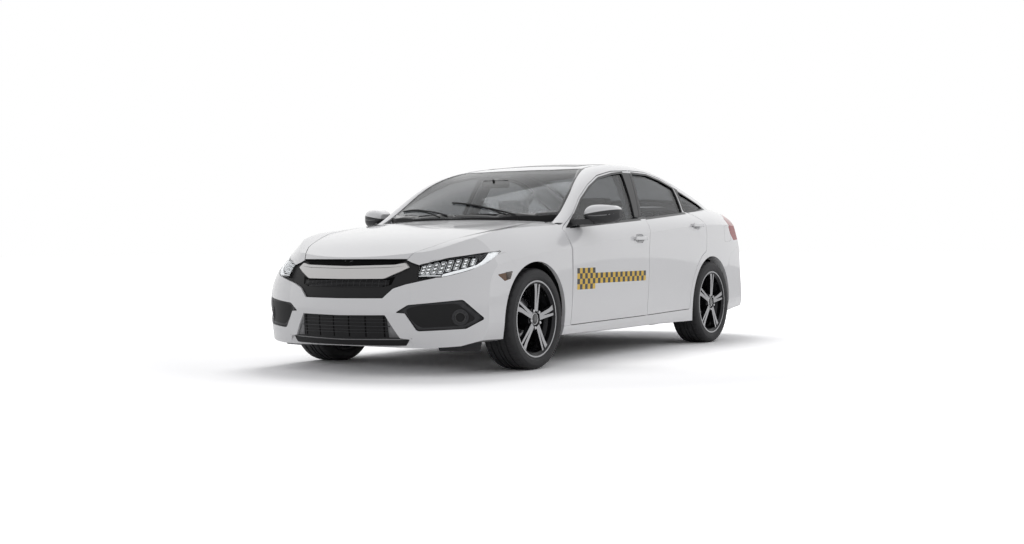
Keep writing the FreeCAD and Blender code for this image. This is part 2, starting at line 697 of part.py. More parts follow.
# ---------------------------------------------------------------- body sides

POST_INNER = 655.0
POST_OUTER = HINGES["front"][4]
FLOOR_TOP = 212.0
FLOOR_EDGE = 690.0
FIREWALL = FRONT_SHUT + 20  # rear face
FIREWALL_THICK = 14.0
REAR_SILL_END = REAR_AXLE - 420

frame = LEFT_WALL.common(side_prism(SIDE_FRAME, 300, FAR))
for shut_line in (FRONT_DOOR, REAR_DOOR):
    frame = frame.cut(side_prism(grow(shut_line, SHUT_GAP), 300, FAR, DOOR_LEAN))
frame = frame.cut(plan_prism(grow(CENTRE_STRIP, JOIN_GAP / 2), 640, HIGH))
frame = frame.cut(box((0, FLOOR_EDGE), (NOSE, TAIL), (LOW, 640)))
frame = frame.cut(side_prism(grow(QUARTER_GLASS, SEAT_GAP), 300, FAR))
for key in HINGES:
    frame = frame.cut(hinge_sweep(key))
inner_sill = box((FLOOR_EDGE, 792), (FRONT_SHUT - 80, REAR_SILL_END), (FLOOR_TOP - 12, SILL_LINE - 8))
front_post = box((POST_INNER, POST_OUTER), (FIREWALL + 0.6, FIREWALL + 115), (FLOOR_TOP + 0.5, 880))
middle_post = box((POST_INNER, POST_OUTER), (PILLAR - 20, PILLAR + 110), (FLOOR_TOP + 0.5, 965))
upper_line = square([(PILLAR - 20, 930), (PILLAR + 110, 930), (PILLAR + 235, HIGH), (PILLAR + 110, HIGH)])
upper_post = cabin_layer(FRAME_WALL + SHUT_GAP, FRAME_WALL + 34).common(side_prism(upper_line, 300, FAR))
head_line = square([(PILLAR + 60, 1350), (PILLAR + 240, 1350), (PILLAR + 240, HIGH), (PILLAR + 60, HIGH)])
post_head = cabin_layer(FRAME_WALL - 8, FRAME_WALL + 34).common(side_prism(head_line, 300, FAR))
post_tops = upper_post.fuse(post_head).cut(plan_prism(grow(CENTRE_STRIP, JOIN_GAP / 2), 640, HIGH))
frame = frame.fuse([inner_sill, front_post, middle_post, post_tops])
for key in HINGES:
    for arm in hinge_arms(key):
        frame = frame.fuse(arm)
frame = frame.cut(ARCHES)
parts["body_side_left"] = solids_of(frame, 100000)
parts["body_side_right"] = mirror(parts["body_side_left"])
keep("quarter_windows", both(side_glass(QUARTER_GLASS)))

# ---------------------------------------------------------------- roof, screens and bonnet

roof_band = band(GLASS_HEAD, BACK_HEAD)
SUNROOF = [(-400, MID + 30, 50), (400, MID + 30, 50), (400, MID + 500, 50), (-400, MID + 500, 50)]
roof = ROOF.common(STRIP).common(roof_band)
keep("roof_panel", roof.cut(plan_prism(grow(SUNROOF, JOIN_GAP), 900, HIGH)))
keep("sunroof", roof.common(plan_prism(SUNROOF, 900, HIGH)).cut(cabin_body(8)))
screens = cabin_layer(2, 2 + GLASS_WALL).common(STRIP)
# The cowl is a tray a little below the bonnet, with a step up to the foot of the windscreen.
COWL_TRAY = (914.0, 928.0)  # underside and top ahead of the firewall
COWL_SHELF = (941.0, 952.0)  # the same above the firewall
COWL_STEP = 12.0
HOOD_AXIS = (FRONT_AXLE + 420, 930.0)  # y and z of the bonnet hinges
HOOD_LUG = 590.0
hood_cut = plan_prism(grow(HOOD_PLAN, SHUT_GAP), HOOD_LIP - SHUT_GAP, HIGH)
wall_front = FIREWALL - FIREWALL_THICK - 1
cowl = OUTER.common(STRIP).common(band(HOOD_REAR, GLASS_FOOT))
cowl = cowl.cut(box((-900, 900), (NOSE, MID), (LOW, COWL_TRAY[0])))
cowl = cowl.cut(box((-900, 900), (wall_front, MID), (LOW, COWL_SHELF[0])))
tray_top = [(NOSE, COWL_TRAY[1]), (wall_front - 14, COWL_TRAY[1]), (wall_front + 6, COWL_SHELF[1])]
tray_top += [(MID, COWL_SHELF[1]), (MID, HIGH), (NOSE, HIGH)]
recess = band(HOOD_REAR, [(x, y - COWL_STEP) for x, y in GLASS_FOOT], -SHUT_GAP)
cowl = cowl.cut(recess.common(side_prism(square(tray_top), -800, 800)))
for x in (-HOOD_LUG, HOOD_LUG):
    cowl = cowl.cut(box((x - 32, x + 32), (HOOD_AXIS[0] - 75, HOOD_AXIS[0] + 15), (LOW, HIGH)))
keep("cowl_panel", cowl.cut(hood_cut))
keep("windscreen", screens.common(band(GLASS_FOOT, GLASS_HEAD)))
keep("rear_window", screens.common(band(BACK_HEAD, BACK_FOOT)))

hood = SKIN.common(plan_prism(HOOD_PLAN, HOOD_LIP, HIGH))
for side in (-1, 1):
    for offset in (-16, 16):
        x = side * HOOD_LUG + offset
        y, z = HOOD_AXIS
        lug = box((x - 7, x + 7), (y - 58, y + 8), (z - 8, z + 8))
        hood = hood.fuse(lug)
    eye_room = box(
        (side * HOOD_LUG - 8.5, side * HOOD_LUG + 8.5),
        (HOOD_AXIS[0] - 12, HOOD_AXIS[0] + 60),
        (HOOD_AXIS[1] - 60, HOOD_AXIS[1] + 9.5),
    )
    bore = rod(Vector(side * HOOD_LUG - 24, *HOOD_AXIS), Vector(side * HOOD_LUG + 24, *HOOD_AXIS), 4.08)
    hood = hood.cut(eye_room).cut(bore)
keep("hood", hood)

# ---------------------------------------------------------------- nose

headlamp = lower_layer(1.5, 90).common(LEFT_HALF).common(turned_prism(HEADLAMP, LAMP_ANGLE, -2600, -1500))
keep("headlamps", both(solids_of(headlamp)))
lamp_cut = turned_prism(grow(HEADLAMP, JOIN_GAP), LAMP_ANGLE, -2700, -1400)
face_cut = front_prism(grow(GRILLE_FACE, JOIN_GAP), NOSE - 50, NOSE + 400)
bar_prism = front_prism(GRILLE_BAR, NOSE - 50, NOSE + 400)
lamp_cuts = both(lamp_cut)
grille = lower_layer(10, 40).common(front_prism(GRILLE_FACE, NOSE - 50, NOSE + 400))
grille = grille.cut(front_prism(grow(GRILLE_BAR, JOIN_GAP), NOSE - 50, NOSE + 400)).cut(lamp_cuts)
keep("grille_bar", lower_layer(0, 30).common(bar_prism).cut(lamp_cuts))
keep("grille", grille)
LIP_DEPTH = 110.0
keep("lower_grille", lower_layer(14, 44).common(front_prism(LOWER_GRILLE, NOSE - 50, NOSE + LIP_DEPTH)))
fog = lower_layer(8, 36).common(LEFT_HALF).common(turned_prism(FOG_PANEL, FOG_ANGLE, -2600, -1500))
keep("fog_lamp_panels", both(solids_of(fog)))
marker = lower_layer(-1, 14).common(side_prism(SIDE_MARKER, 600, FAR))
keep("side_markers", both(solids_of(marker)), 200)

bumper = BUMPER.common(side_prism(FRONT_BUMPER, 0, FAR))
bumper = bumper.cut(hood_cut).cut(lamp_cut).cut(face_cut)
bumper = bumper.cut(front_prism(grow(LOWER_GRILLE, JOIN_GAP), NOSE - 50, NOSE + LIP_DEPTH + JOIN_GAP))
bumper = bumper.cut(turned_prism(grow(FOG_PANEL, JOIN_GAP), FOG_ANGLE, -2700, -1400))
bumper = bumper.cut(side_prism(grow(SIDE_MARKER, JOIN_GAP), 600, FAR)).cut(ARCHES)
bumper = bumper.cut(box((-1, 520), (FRONT_AXLE - 110, FRONT_AXLE + 20), (LOW, 260)))
bumper = solids_of(bumper, 20000)
keep("bumper_front", bumper.fuse(mirror(bumper)))

fender = SKIN.common(side_prism(FENDER, 300, FAR)).cut(hood_cut).cut(lamp_cut).cut(face_cut).cut(ARCHES)
fender = fender.cut(side_prism(grow(FRONT_DOOR, SHUT_GAP), 300, FAR, DOOR_LEAN))
hinge_x, hinge_y = HINGES["front"][:2]
fender = fender.cut(Part.makeCylinder(HINGE_SETBACK + 8, 700, Vector(hinge_x, hinge_y, 240)))
cowl_room = band(HOOD_REAR, GLASS_FOOT, -JOIN_GAP / 2)
fender = fender.cut(cowl_room.common(plan_prism(grow(CENTRE_STRIP, JOIN_GAP / 2), 600, HIGH)))
corner_room = box((600, HOOD_CORNER + 11), (HOOD_AXIS[0] - 34, HOOD_AXIS[0] + 15), (800, HIGH))
parts["fender_left"] = solids_of(fender.cut(corner_room), 1e6)
parts["fender_right"] = mirror(parts["fender_left"])

# ---------------------------------------------------------------- tail

LID_AXIS = (LID_FRONT + 10, 1084.0)
LID_LUG = 470.0
LID_SWEEP = 31.0
lid_box = box((-560, 560), (LID_FRONT, TAIL + 100), (600, HIGH))
lid_wide = box((-566, 566), (LID_FRONT - 6, TAIL + 100), (600, HIGH))
lid = LID_SKIN.common(lid_box).common(front_prism(LID_FACE, LID_FRONT - 10, TAIL + 100))
for side in (-1, 1):
    x = side * LID_LUG
    eye_room = box((x - 10, x + 10), (LID_FRONT - 20, LID_AXIS[0] + 11), (900, LID_AXIS[1] + 10.5))
    bore = rod(Vector(x - 24, *LID_AXIS), Vector(x + 24, *LID_AXIS), 4.08)
    lid = lid.cut(eye_room).cut(bore)
TRUNK_LAMP = [(392, 866, 10), (560, 850, 0), (560, 962, 0), (404, 950, 10)]
lamp_y = (TAIL - 500, TAIL + 50)
lid_lamps = both(front_prism(TRUNK_LAMP, *lamp_y))
keep("trunk_lamps", lid.common(lid_lamps).cut(lower_body(14, 14, 14, 14)))
lamp_room = both(front_prism(grow(TRUNK_LAMP, SEAT_GAP), *lamp_y)).cut(lower_body(14.3, 14.3, 14.3, 14.3))
keep("trunk_lid", lid.cut(lamp_room))

deck = TOP.common(STRIP).common(band(BACK_FOOT, [(0, LID_FRONT - 5), (760, LID_FRONT - 5)]))
deck = deck.cut(rod(Vector(-600, *LID_AXIS), Vector(600, *LID_AXIS), LID_SWEEP))
for side in (-1, 1):
    x = side * LID_LUG
    upright = box((x - 8, x + 8), (LID_AXIS[0] - 8, LID_AXIS[0] + 8), (LID_AXIS[1] - 44, LID_AXIS[1]))
    foot = box((x - 8, x + 8), (LID_AXIS[0] - 54, LID_AXIS[0] + 8), (LID_AXIS[1] - 44, LID_AXIS[1] - 30))
    riser = box((x - 8, x + 8), (LID_AXIS[0] - 62, LID_AXIS[0] - 46), (LID_AXIS[1] - 44, LID_AXIS[1] + 14))
    eye = rod(Vector(x - 8, *LID_AXIS), Vector(x + 8, *LID_AXIS), 8)
    pin = rod(Vector(x - 22, *LID_AXIS), Vector(x + 22, *LID_AXIS), 4)
    deck = deck.fuse([upright, foot, riser, eye, pin])
keep("rear_deck", deck)

tail_lamp = lower_layer(0, 34).common(side_prism(TAIL_LAMP, 300, FAR)).cut(lid_wide)
keep("tail_lamps", both(solids_of(tail_lamp)))
rear = BUMPER.common(side_prism(REAR_BUMPER, 0, FAR))
rear = rear.cut(front_prism(grow(LID_FACE, SHUT_GAP), LID_FRONT, TAIL + 100))
rear = rear.cut(arch(REAR_AXLE, ARCH_RADIUS, 620))
rear = solids_of(rear, 20000)
keep("bumper_rear", rear.fuse(mirror(rear)))

# ---------------------------------------------------------------- floor and front frame

inside = lower_body(TRIM_WALL + 10, TRIM_WALL + 10, 0, TRIM_WALL + 10)
BULKHEAD = REAR_AXLE - 60
BOOT_FLOOR = 404.0
JACK_PAD = (610.0, 670.0, 168.0)  # inner and outer x and bottom of the jacking pads
BOOT_HALF = 600.0
BOOT_END = TAIL - 140
cabin_floor = OUTER_LOWER.common(
    box((-FLOOR_EDGE + 0.6, FLOOR_EDGE - 0.6), (FIREWALL - FIREWALL_THICK, REAR_SILL_END), (LOW, FLOOR_TOP))
)
rear_floor = OUTER_LOWER.common(box((-610, 610), (REAR_SILL_END, REAR_AXLE + 219.4), (LOW, FLOOR_TOP)))
firewall_half = FLOOR_EDGE - 0.6
firewall = inside.common(
    box((-firewall_half, firewall_half), (FIREWALL - FIREWALL_THICK, FIREWALL), (FLOOR_TOP - 6, 940))
)
for side in (-1, 1):
    x = side * HOOD_LUG
    post = box((x - 7, x + 7), (HOOD_AXIS[0] - 8, HOOD_AXIS[0] + 8), (HOOD_AXIS[1] - 90, HOOD_AXIS[1]))
    foot = box((x - 7, x + 7), (HOOD_AXIS[0] - 8, FIREWALL - 5), (HOOD_AXIS[1] - 90, HOOD_AXIS[1] - 70))
    eye = rod(Vector(x - 7, *HOOD_AXIS), Vector(x + 7, *HOOD_AXIS), 8)
    pin = rod(Vector(x - 22, *HOOD_AXIS), Vector(x + 22, *HOOD_AXIS), 4)
    firewall = firewall.fuse([post, foot, eye, pin])
heel = box((-BOOT_HALF, BOOT_HALF), (REAR_SILL_END - 40, REAR_SILL_END - 26), (FLOOR_TOP - 6, BOOT_FLOOR))
boot_floor = box((-BOOT_HALF, BOOT_HALF), (REAR_SILL_END - 40, BOOT_END), (BOOT_FLOOR - 12, BOOT_FLOOR))
boot_end = box((-BOOT_HALF, BOOT_HALF), (BOOT_END - 12, BOOT_END), (FLOOR_TOP + 60, BOOT_FLOOR))
bulkhead = box((-BOOT_HALF, BOOT_HALF), (BULKHEAD, BULKHEAD + 12), (BOOT_FLOOR - 6, 940))
shelf = box((-BOOT_HALF, BOOT_HALF), (BULKHEAD, BULKHEAD + 420), (930, 942))
boot = boot_floor.fuse([boot_end, heel]).common(
    lower_body(BUMPER_WALL + 4, BUMPER_WALL + 4, BUMPER_WALL, BUMPER_WALL + 4)
)
floor = cabin_floor.fuse([rear_floor, firewall, boot, bulkhead, shelf])
floor = floor.cut(both(hinge_sweep("front")))
for y in (FIREWALL + 180, REAR_SILL_END - 180):
    pad = box((JACK_PAD[0], JACK_PAD[1]), (y - 60, y + 60), (JACK_PAD[2], LOW + 100))
    floor = floor.fuse([pad, mirror(pad)])
keep("underbody", floor)

RAIL_X = (400.0, 470.0)
RAIL_Z = (470.0, 570.0)
RAIL_FRONT = NOSE + 215
STRUT_X = 590.0
TOWER_TOP = 742.0
rails = []
for side in (-1, 1):
    near, far = sorted((side * RAIL_X[0], side * RAIL_X[1]))
    rails.append(box((near, far), (RAIL_FRONT, FIREWALL - FIREWALL_THICK - 0.3), RAIL_Z))
    wall, plate = sorted((side * RAIL_X[1], side * (RAIL_X[1] - 14)))
    rails.append(box((wall, plate), (FRONT_AXLE - 75, FRONT_AXLE + 75), (RAIL_Z[1] - 5, TOWER_TOP + 10)))
    inner, outer = sorted((side * (RAIL_X[1] - 14), side * (STRUT_X + 55)))
    rails.append(box((inner, outer), (FRONT_AXLE - 75, FRONT_AXLE + 75), (TOWER_TOP, TOWER_TOP + 10)))
support = box((-RAIL_X[1], RAIL_X[1]), (RAIL_FRONT - 20, RAIL_FRONT), (240, 590))
radiator = box((-340, 340), (RAIL_FRONT, RAIL_FRONT + 45), (250, 630))
beam = box((-560, 560), (RAIL_FRONT - 60, RAIL_FRONT - 20), (RAIL_Z[0], RAIL_Z[1]))
inner_nose = lower_body(BUMPER_WALL + 4, BUMPER_WALL + 4, BUMPER_WALL, BUMPER_WALL + 4)
front_frame = rails[0].fuse(rails[1:] + [support, radiator, beam]).common(inner_nose)
keep("front_frame", front_frame)
ENGINE = ((-330.0, 330.0), (FRONT_AXLE - 330, FRONT_AXLE + 250), (330.0, 770.0))
engine = box(*ENGINE)
for side in (-1, 1):
    near, far = sorted((side * 320, side * (RAIL_X[0] - 0.3)))
    foot = box((near, far), (FRONT_AXLE - 150, FRONT_AXLE - 70), (RAIL_Z[0] + 10, RAIL_Z[1] - 10))
    engine = engine.fuse(foot)
keep("engine_block", engine)

# ---------------------------------------------------------------- wheels, knuckles and suspension

RIM_HALF = 108.0
SPOKES = 5
SPINDLE = 28.0
LUG_CIRCLE = 57.15
KINGPIN = 10.0
SPINDLE_END = 800.0
CALIPER_TURN = 129.0


def revolved(profile, middle_x, axle):
    """Solid of revolution about the axle from (x, radius) corners."""
    corners = [Vector(middle_x + x, axle, AXLE_HEIGHT + r) for x, r in profile]
    face = Part.Face(Part.makePolygon(corners + corners[:1]))
    return face.revolve(Vector(0, axle, AXLE_HEIGHT), Vector(1, 0, 0), 360)


RIM_PROFILE = [
    (-RIM_HALF, RIM_RADIUS), (-100, RIM_RADIUS), (-99, BEAD_RADIUS), (-70, BEAD_RADIUS), (-48, 212),
    (40, 212), (66, BEAD_RADIUS), (99, BEAD_RADIUS), (100, RIM_RADIUS), (RIM_HALF, RIM_RADIUS),
    (RIM_HALF, 236), (92, 216), (62, 216), (38, 202), (-52, 202), (-72, 217), (-96, 219),
    (-RIM_HALF, 234),
]
TYRE_PROFILE = [
    (-98.5, BEAD_RADIUS + TYRE_FIT), (-99.5, RIM_RADIUS + TYRE_FIT), (-110, RIM_RADIUS + 3), (-117.5, 268),
    (-116, 294), (-107, 312), (-94, 321), (-40, 323), (40, 323), (94, 321), (107, 312), (116, 294),
    (117.5, 268), (110, RIM_RADIUS + 3), (99.5, RIM_RADIUS + TYRE_FIT), (98.5, BEAD_RADIUS + TYRE_FIT),
    (76, BEAD_RADIUS + TYRE_FIT), (82, 244), (104, 266), (100, 296), (84, 311), (-84, 311), (-100, 296),
    (-104, 266), (-82, 244), (-76, BEAD_RADIUS + TYRE_FIT),
]


# One spoke, in mm across it and out from the axle: a flared blade, a narrow blade and the web behind.
# Columns: outline, inner and outer depth from the wheel's middle.
SPOKE_PHASE = 9.0  # degrees from straight up, towards the rear
SPOKE = [
    (
        [(-16, 240), (-58, 236), (-42, 206), (-33, 170), (-27, 110)]
        + [(-22, 50), (-2, 50), (-5, 120), (-8, 180)],
        68,
        99,
    ),
    ([(23, 240), (8, 241), (3, 170), (-7, 50), (18, 50), (19, 120)], 68, 99),
    ([(-30, 222), (-20, 60), (14, 60), (18, 222)], 66, 84),
]


def wheel(axle, track):
    """Rim with hub and brake disc, and its tyre, for the left side."""
    middle = track / 2
    start = SPINDLE_END - 60 - middle
    rim = revolved(RIM_PROFILE, middle, axle)
    centre = Vector(middle, axle, AXLE_HEIGHT)
    one = []
    for corners, low, high in SPOKE:
        points = [Vector(middle + low, axle + u, AXLE_HEIGHT + v) for u, v in corners]
        one.append(Part.Face(Part.makePolygon(points + points[:1])).extrude(Vector(high - low, 0, 0)))
    inside_rim = rod(centre, centre + Vector(RIM_HALF, 0, 0), BEAD_RADIUS - 2)
    one = one[0].fuse(one[1:]).common(inside_rim)
    for i in range(SPOKES):
        turned = one.copy()
        turned.rotate(centre, Vector(1, 0, 0), -SPOKE_PHASE - 360.0 / SPOKES * i)
        rim = rim.fuse(turned)
    hub = revolved([(start, 0), (start, 78), (88, 74), (88, 34), (94, 28), (94, 0)], middle, axle)
    disc_profile = [(-44, 0), (-44, 140), (-22, 140), (-22, 78), (start + 12, 78), (start + 12, 0)]
    disc = revolved(disc_profile, middle, axle)
    bore = rod(Vector(600, axle, AXLE_HEIGHT), Vector(SPINDLE_END + 4, axle, AXLE_HEIGHT), SPINDLE + SPINDLE_FIT)
    rim = rim.fuse(hub).fuse(disc).cut(bore)
    for i in range(5):
        angle = math.radians(SPOKE_PHASE) + 2 * math.pi * (i + 0.5) / 5
        y, z = axle + LUG_CIRCLE * math.sin(angle), AXLE_HEIGHT + LUG_CIRCLE * math.cos(angle)
        rim = rim.fuse(rod(Vector(middle + 80, y, z), Vector(middle + 100, y, z), 9))
    return solids_of(rim), solids_of(revolved(TYRE_PROFILE, middle, axle))


def caliper(axle, track, round_by=0.0):
    """Brake caliper over the disc, on a bracket from the hub carrier; round_by turns it forwards and up."""
    disc_x = track / 2 - 33
    body = box((disc_x - 26, disc_x + 30), (axle + 84, axle + 152), (AXLE_HEIGHT - 55, AXLE_HEIGHT + 55))
    slot = box((disc_x - 15, disc_x + 15), (axle + 60, axle + 145), (LOW, 600))
    bracket = box((disc_x - 28, disc_x - 16), (axle, axle + 110), (AXLE_HEIGHT - 22, AXLE_HEIGHT + 22))
    made = body.cut(slot).fuse(bracket)
    made.rotate(Vector(0, axle, AXLE_HEIGHT), Vector(1, 0, 0), round_by)
    return made


for row, axle, track in (("front", FRONT_AXLE, FRONT_TRACK), ("rear", REAR_AXLE, REAR_TRACK)):
    rim, tyre = wheel(axle, track)
    parts["wheel_%s_left" % row], parts["wheel_%s_right" % row] = rim, mirror(rim)
    parts["tyre_%s_left" % row], parts["tyre_%s_right" % row] = tyre, mirror(tyre)

LOWER_ARM = (164.0, 192.0)
UPPER_ARM = (470.0, 492.0)


def upright(x, y, low, high, radius):
    return Part.makeCylinder(radius, high - low, Vector(x, y, low))


knuckle = upright(KINGPIN_X, FRONT_AXLE, LOWER_ARM[1] + 5, UPPER_ARM[0] - 5, 22)
spindle_start = Vector(KINGPIN_X, FRONT_AXLE, AXLE_HEIGHT)
spindle = rod(spindle_start, Vector(SPINDLE_END, FRONT_AXLE, AXLE_HEIGHT), SPINDLE)
knuckle = knuckle.fuse(spindle).fuse(caliper(FRONT_AXLE, FRONT_TRACK, CALIPER_TURN))
knuckle = knuckle.cut(upright(KINGPIN_X, FRONT_AXLE, LOWER_ARM[0], LOWER_ARM[1] + 40, KINGPIN + 0.08))
knuckle = knuckle.cut(upright(KINGPIN_X, FRONT_AXLE, UPPER_ARM[0] - 40, UPPER_ARM[1], KINGPIN + 0.08))
parts["knuckle_left"] = solids_of(knuckle)
parts["knuckle_right"] = mirror(parts["knuckle_left"])

arms = []
for side in (-1, 1):
    pin_x, strut_x = side * KINGPIN_X, side * STRUT_X
    near, far = sorted((side * 340, pin_x))
    arms.append(box((near, far), (FRONT_AXLE - 22, FRONT_AXLE + 22), LOWER_ARM))
    arms.append(upright(pin_x, FRONT_AXLE, LOWER_ARM[0], LOWER_ARM[1], 22))
    arms.append(upright(pin_x, FRONT_AXLE, LOWER_ARM[0], LOWER_ARM[1] + 38, KINGPIN))
    near, far = sorted((strut_x, pin_x))
    arms.append(box((near, far), (FRONT_AXLE - 20, FRONT_AXLE + 20), UPPER_ARM))
    arms.append(upright(pin_x, FRONT_AXLE, UPPER_ARM[0], UPPER_ARM[1], 20))
    arms.append(upright(pin_x, FRONT_AXLE, UPPER_ARM[0] - 38, UPPER_ARM[1], KINGPIN))
    arms.append(upright(strut_x, FRONT_AXLE, UPPER_ARM[0], TOWER_TOP - 0.3, 22))
    arms.append(upright(strut_x, FRONT_AXLE, 664, TOWER_TOP - 12, 46))
    near, far = sorted((side * 330, side * 380))
    arms.append(box((near, far), (FRONT_AXLE - 40, FRONT_AXLE + 40), (LOWER_ARM[0], 300)))
    near, far = sorted((side * 380, side * 440))
    arms.append(box((near, far), (FRONT_AXLE - 40, FRONT_AXLE + 40), (250, 300)))
    near, far = sorted((side * 404, side * 440))
    arms.append(box((near, far), (FRONT_AXLE - 40, FRONT_AXLE + 40), (250, RAIL_Z[0] - 0.3)))
arms.append(box((-380, 380), (FRONT_AXLE - 40, FRONT_AXLE + 40), (250, 300)))
keep("front_suspension", arms[0].fuse(arms[1:]))

rear_axle = box((-660, 660), (REAR_AXLE - 35, REAR_AXLE + 35), (AXLE_HEIGHT - 40, AXLE_HEIGHT + 30))
carriers = []
for side in (-1, 1):
    inner_end = Vector(side * 650, REAR_AXLE, AXLE_HEIGHT)
    carriers.append(rod(inner_end, Vector(side * SPINDLE_END, REAR_AXLE, AXLE_HEIGHT), SPINDLE))
    near, far = sorted((side * 420, side * 480))
    carriers.append(box((near, far), (REAR_AXLE - 30, REAR_AXLE + 30), (AXLE_HEIGHT, BOOT_FLOOR - 12.3)))
    near, far = sorted((side * 660, side * 712))
    carriers.append(box((near, far), (REAR_AXLE - 45, REAR_AXLE + 45), (AXLE_HEIGHT - 45, AXLE_HEIGHT + 45)))
brakes = caliper(REAR_AXLE, REAR_TRACK)
keep("rear_axle", rear_axle.fuse(carriers + [brakes, mirror(brakes)]))

LINER_RADIUS = 396.0
liners = []
for axle, inner, wall in ((FRONT_AXLE, 486.0, PANEL_WALL + 1), (REAR_AXLE, 640.0, DOOR_WALL + 1)):
    middle = Vector(inner, axle, AXLE_HEIGHT + 4)
    ring = Part.makeCylinder(LINER_RADIUS, 842 - inner, middle, Vector(1, 0, 0))
    ring = ring.cut(Part.makeCylinder(LINER_RADIUS - 4, 838 - inner, middle, Vector(1, 0, 0)))
    ring = ring.cut(Part.makeCylinder(ARCH_RADIUS + 3, 2000, middle, Vector(1, 0, 0)))
    ring = ring.common(box((inner, 842), (axle - 500, axle + 500), (SILL_LINE + 60, 900)))
    ring = ring.common(lower_body(wall, PANEL_WALL + 1, 0, BUMPER_WALL + 1))
    liners.append(ring)
front_liner = liners[0].cut(upright(STRUT_X, FRONT_AXLE, 600, 900, 60))
keep("arch_liners", both(Part.makeCompound([solids_of(front_liner), solids_of(liners[1])])))

# ---------------------------------------------------------------- cabin

SEAT_X = 365.0
SEAT_HALF = 255.0


def seat(x, half, front, back, cushion_top, lean, top, head):
    """Cushion, backrest and head restraint; lean is how far the top of the back lies behind its foot."""
    cushion = side_prism(
        [(front, 300, 30), (front, cushion_top - 20, 50), (back, cushion_top - 40, 20), (back, 290, 20)],
        x - half,
        x + half,
    )
    rest = side_prism(
        [(back - 60, cushion_top - 40, 30), (back + 70, cushion_top - 60, 30)]
        + [(back + 70 + lean, top - 30, 40), (back + lean - 30, top, 40)],
        x - half,
        x + half,
    )
    y = back + lean
    post = box((x - 60, x + 60), (y, y + 24), (top - 60, top + 40))
    restraint = side_prism(
        [(y - 50, top + 20, 30), (y - 30, top + head, 30), (y + 60, top + head, 30), (y + 50, top + 20, 30)],
        x - 130,
        x + 130,
    )
    return cushion.fuse([rest, post, restraint])


def seat_rails(x, front, back):
    made = []
    for offset in (-180, 180):
        across = (x + offset - 20, x + offset + 20)
        made.append(box(across, (front + 40, back - 20), (FLOOR_TOP + 0.3, 305)))
    return made


SEAT_FRONT = MID - 330
SEAT_BACK = MID + 165
front_seats = []
for side in (-1, 1):
    x = side * SEAT_X
    one = seat(x, SEAT_HALF, SEAT_FRONT, SEAT_BACK, 440, 200, 960, 190)
    front_seats.append(one.fuse(seat_rails(x, SEAT_FRONT, SEAT_BACK)))
keep("front_seats", Part.makeCompound(front_seats))

BENCH_HALF = 560.0
BENCH_FRONT = REAR_AXLE - 745
bench_cushion = side_prism(
    [(BENCH_FRONT, 290, 30), (BENCH_FRONT, 420, 50), (BENCH_FRONT + 505, 410, 20)]
    + [(BENCH_FRONT + 505, BOOT_FLOOR + 0.3, 5), (REAR_SILL_END - 41, BOOT_FLOOR + 0.3, 0)]
    + [(REAR_SILL_END - 41, 290, 10)],
    -BENCH_HALF,
    BENCH_HALF,
)
bench_back = side_prism(
    [(REAR_AXLE - 300, BOOT_FLOOR + 0.3, 20), (BULKHEAD - 0.3, BOOT_FLOOR + 0.3, 5), (BULKHEAD - 0.3, 905, 30)]
    + [(BULKHEAD - 110, 925, 40)],
    -BENCH_HALF,
    BENCH_HALF,
)
REAR_HEAD = [(BULKHEAD - 108, 910, 20), (BULKHEAD - 98, 1060, 30), (BULKHEAD - 30, 1060, 30)]
REAR_HEAD += [(BULKHEAD - 30, 890, 10)]
rear_heads = [side_prism(REAR_HEAD, x - 110, x + 110) for x in (-350, 0, 350)]
bench_foot = box((-520, 520), (BENCH_FRONT + 45, BENCH_FRONT + 245), (FLOOR_TOP + 0.3, 300))
keep("rear_seat", bench_cushion.fuse([bench_back, bench_foot] + rear_heads))

DASH_HALF = 632.0
dash = side_prism(
    [(FIREWALL + 0.3, 560, 0), (FIREWALL + 0.3, 890, 20), (FIREWALL + 180, 950, 60)]
    + [(FIREWALL + 320, 900, 40), (FIREWALL + 370, 780, 40), (FIREWALL + 300, 580, 40)],
    -DASH_HALF,
    DASH_HALF,
)
console = side_prism(
    [(FIREWALL + 200, FLOOR_TOP + 0.3, 0), (FIREWALL + 200, 700, 20), (FIREWALL + 400, 520, 60)]
    + [(MID + 120, 470, 40), (MID + 120, FLOOR_TOP + 0.3, 0)],
    -105,
    105,
)
WHEEL_HUB = Vector(SEAT_X, FIREWALL + 480, 800)
COLUMN = Vector(0, -math.cos(math.radians(24)), -math.sin(math.radians(24)))  # down the column
column = rod(WHEEL_HUB + COLUMN * 40, WHEEL_HUB + COLUMN * 260, 22)
shaft = rod(WHEEL_HUB + COLUMN * 4, WHEEL_HUB + COLUMN * 60, 9)
keep("dashboard", dash.fuse([console, column, shaft]))
STEERING_RADIUS = 185.0
rim = Part.makeTorus(STEERING_RADIUS, 15, WHEEL_HUB, COLUMN)
hub = rod(WHEEL_HUB - COLUMN * 30, WHEEL_HUB + COLUMN * 36, 52)
across = Vector(1, 0, 0)
down = COLUMN.cross(across)
bars = [rod(WHEEL_HUB - across * STEERING_RADIUS, WHEEL_HUB + across * STEERING_RADIUS, 11)]
if down.z > 0:
    down = down * -1
bars.append(rod(WHEEL_HUB, WHEEL_HUB + down * STEERING_RADIUS, 11))
bore = rod(WHEEL_HUB - COLUMN * 0, WHEEL_HUB + COLUMN * 60, 9.08)
keep("steering_wheel", rim.fuse([hub] + bars).cut(bore))

# ---------------------------------------------------------------- export

if __name__ == "__main__":
    os.makedirs("parts", exist_ok=True)
    for name, shape in parts.items():
        shape.exportStep("parts/%s.step" % name)
        if not shape.isValid():
            print("not valid:", name)
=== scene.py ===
"""Looks for the saloon taxi cab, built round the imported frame. Metres; +X the car's left, -Y its front."""

import functools
import json
import math

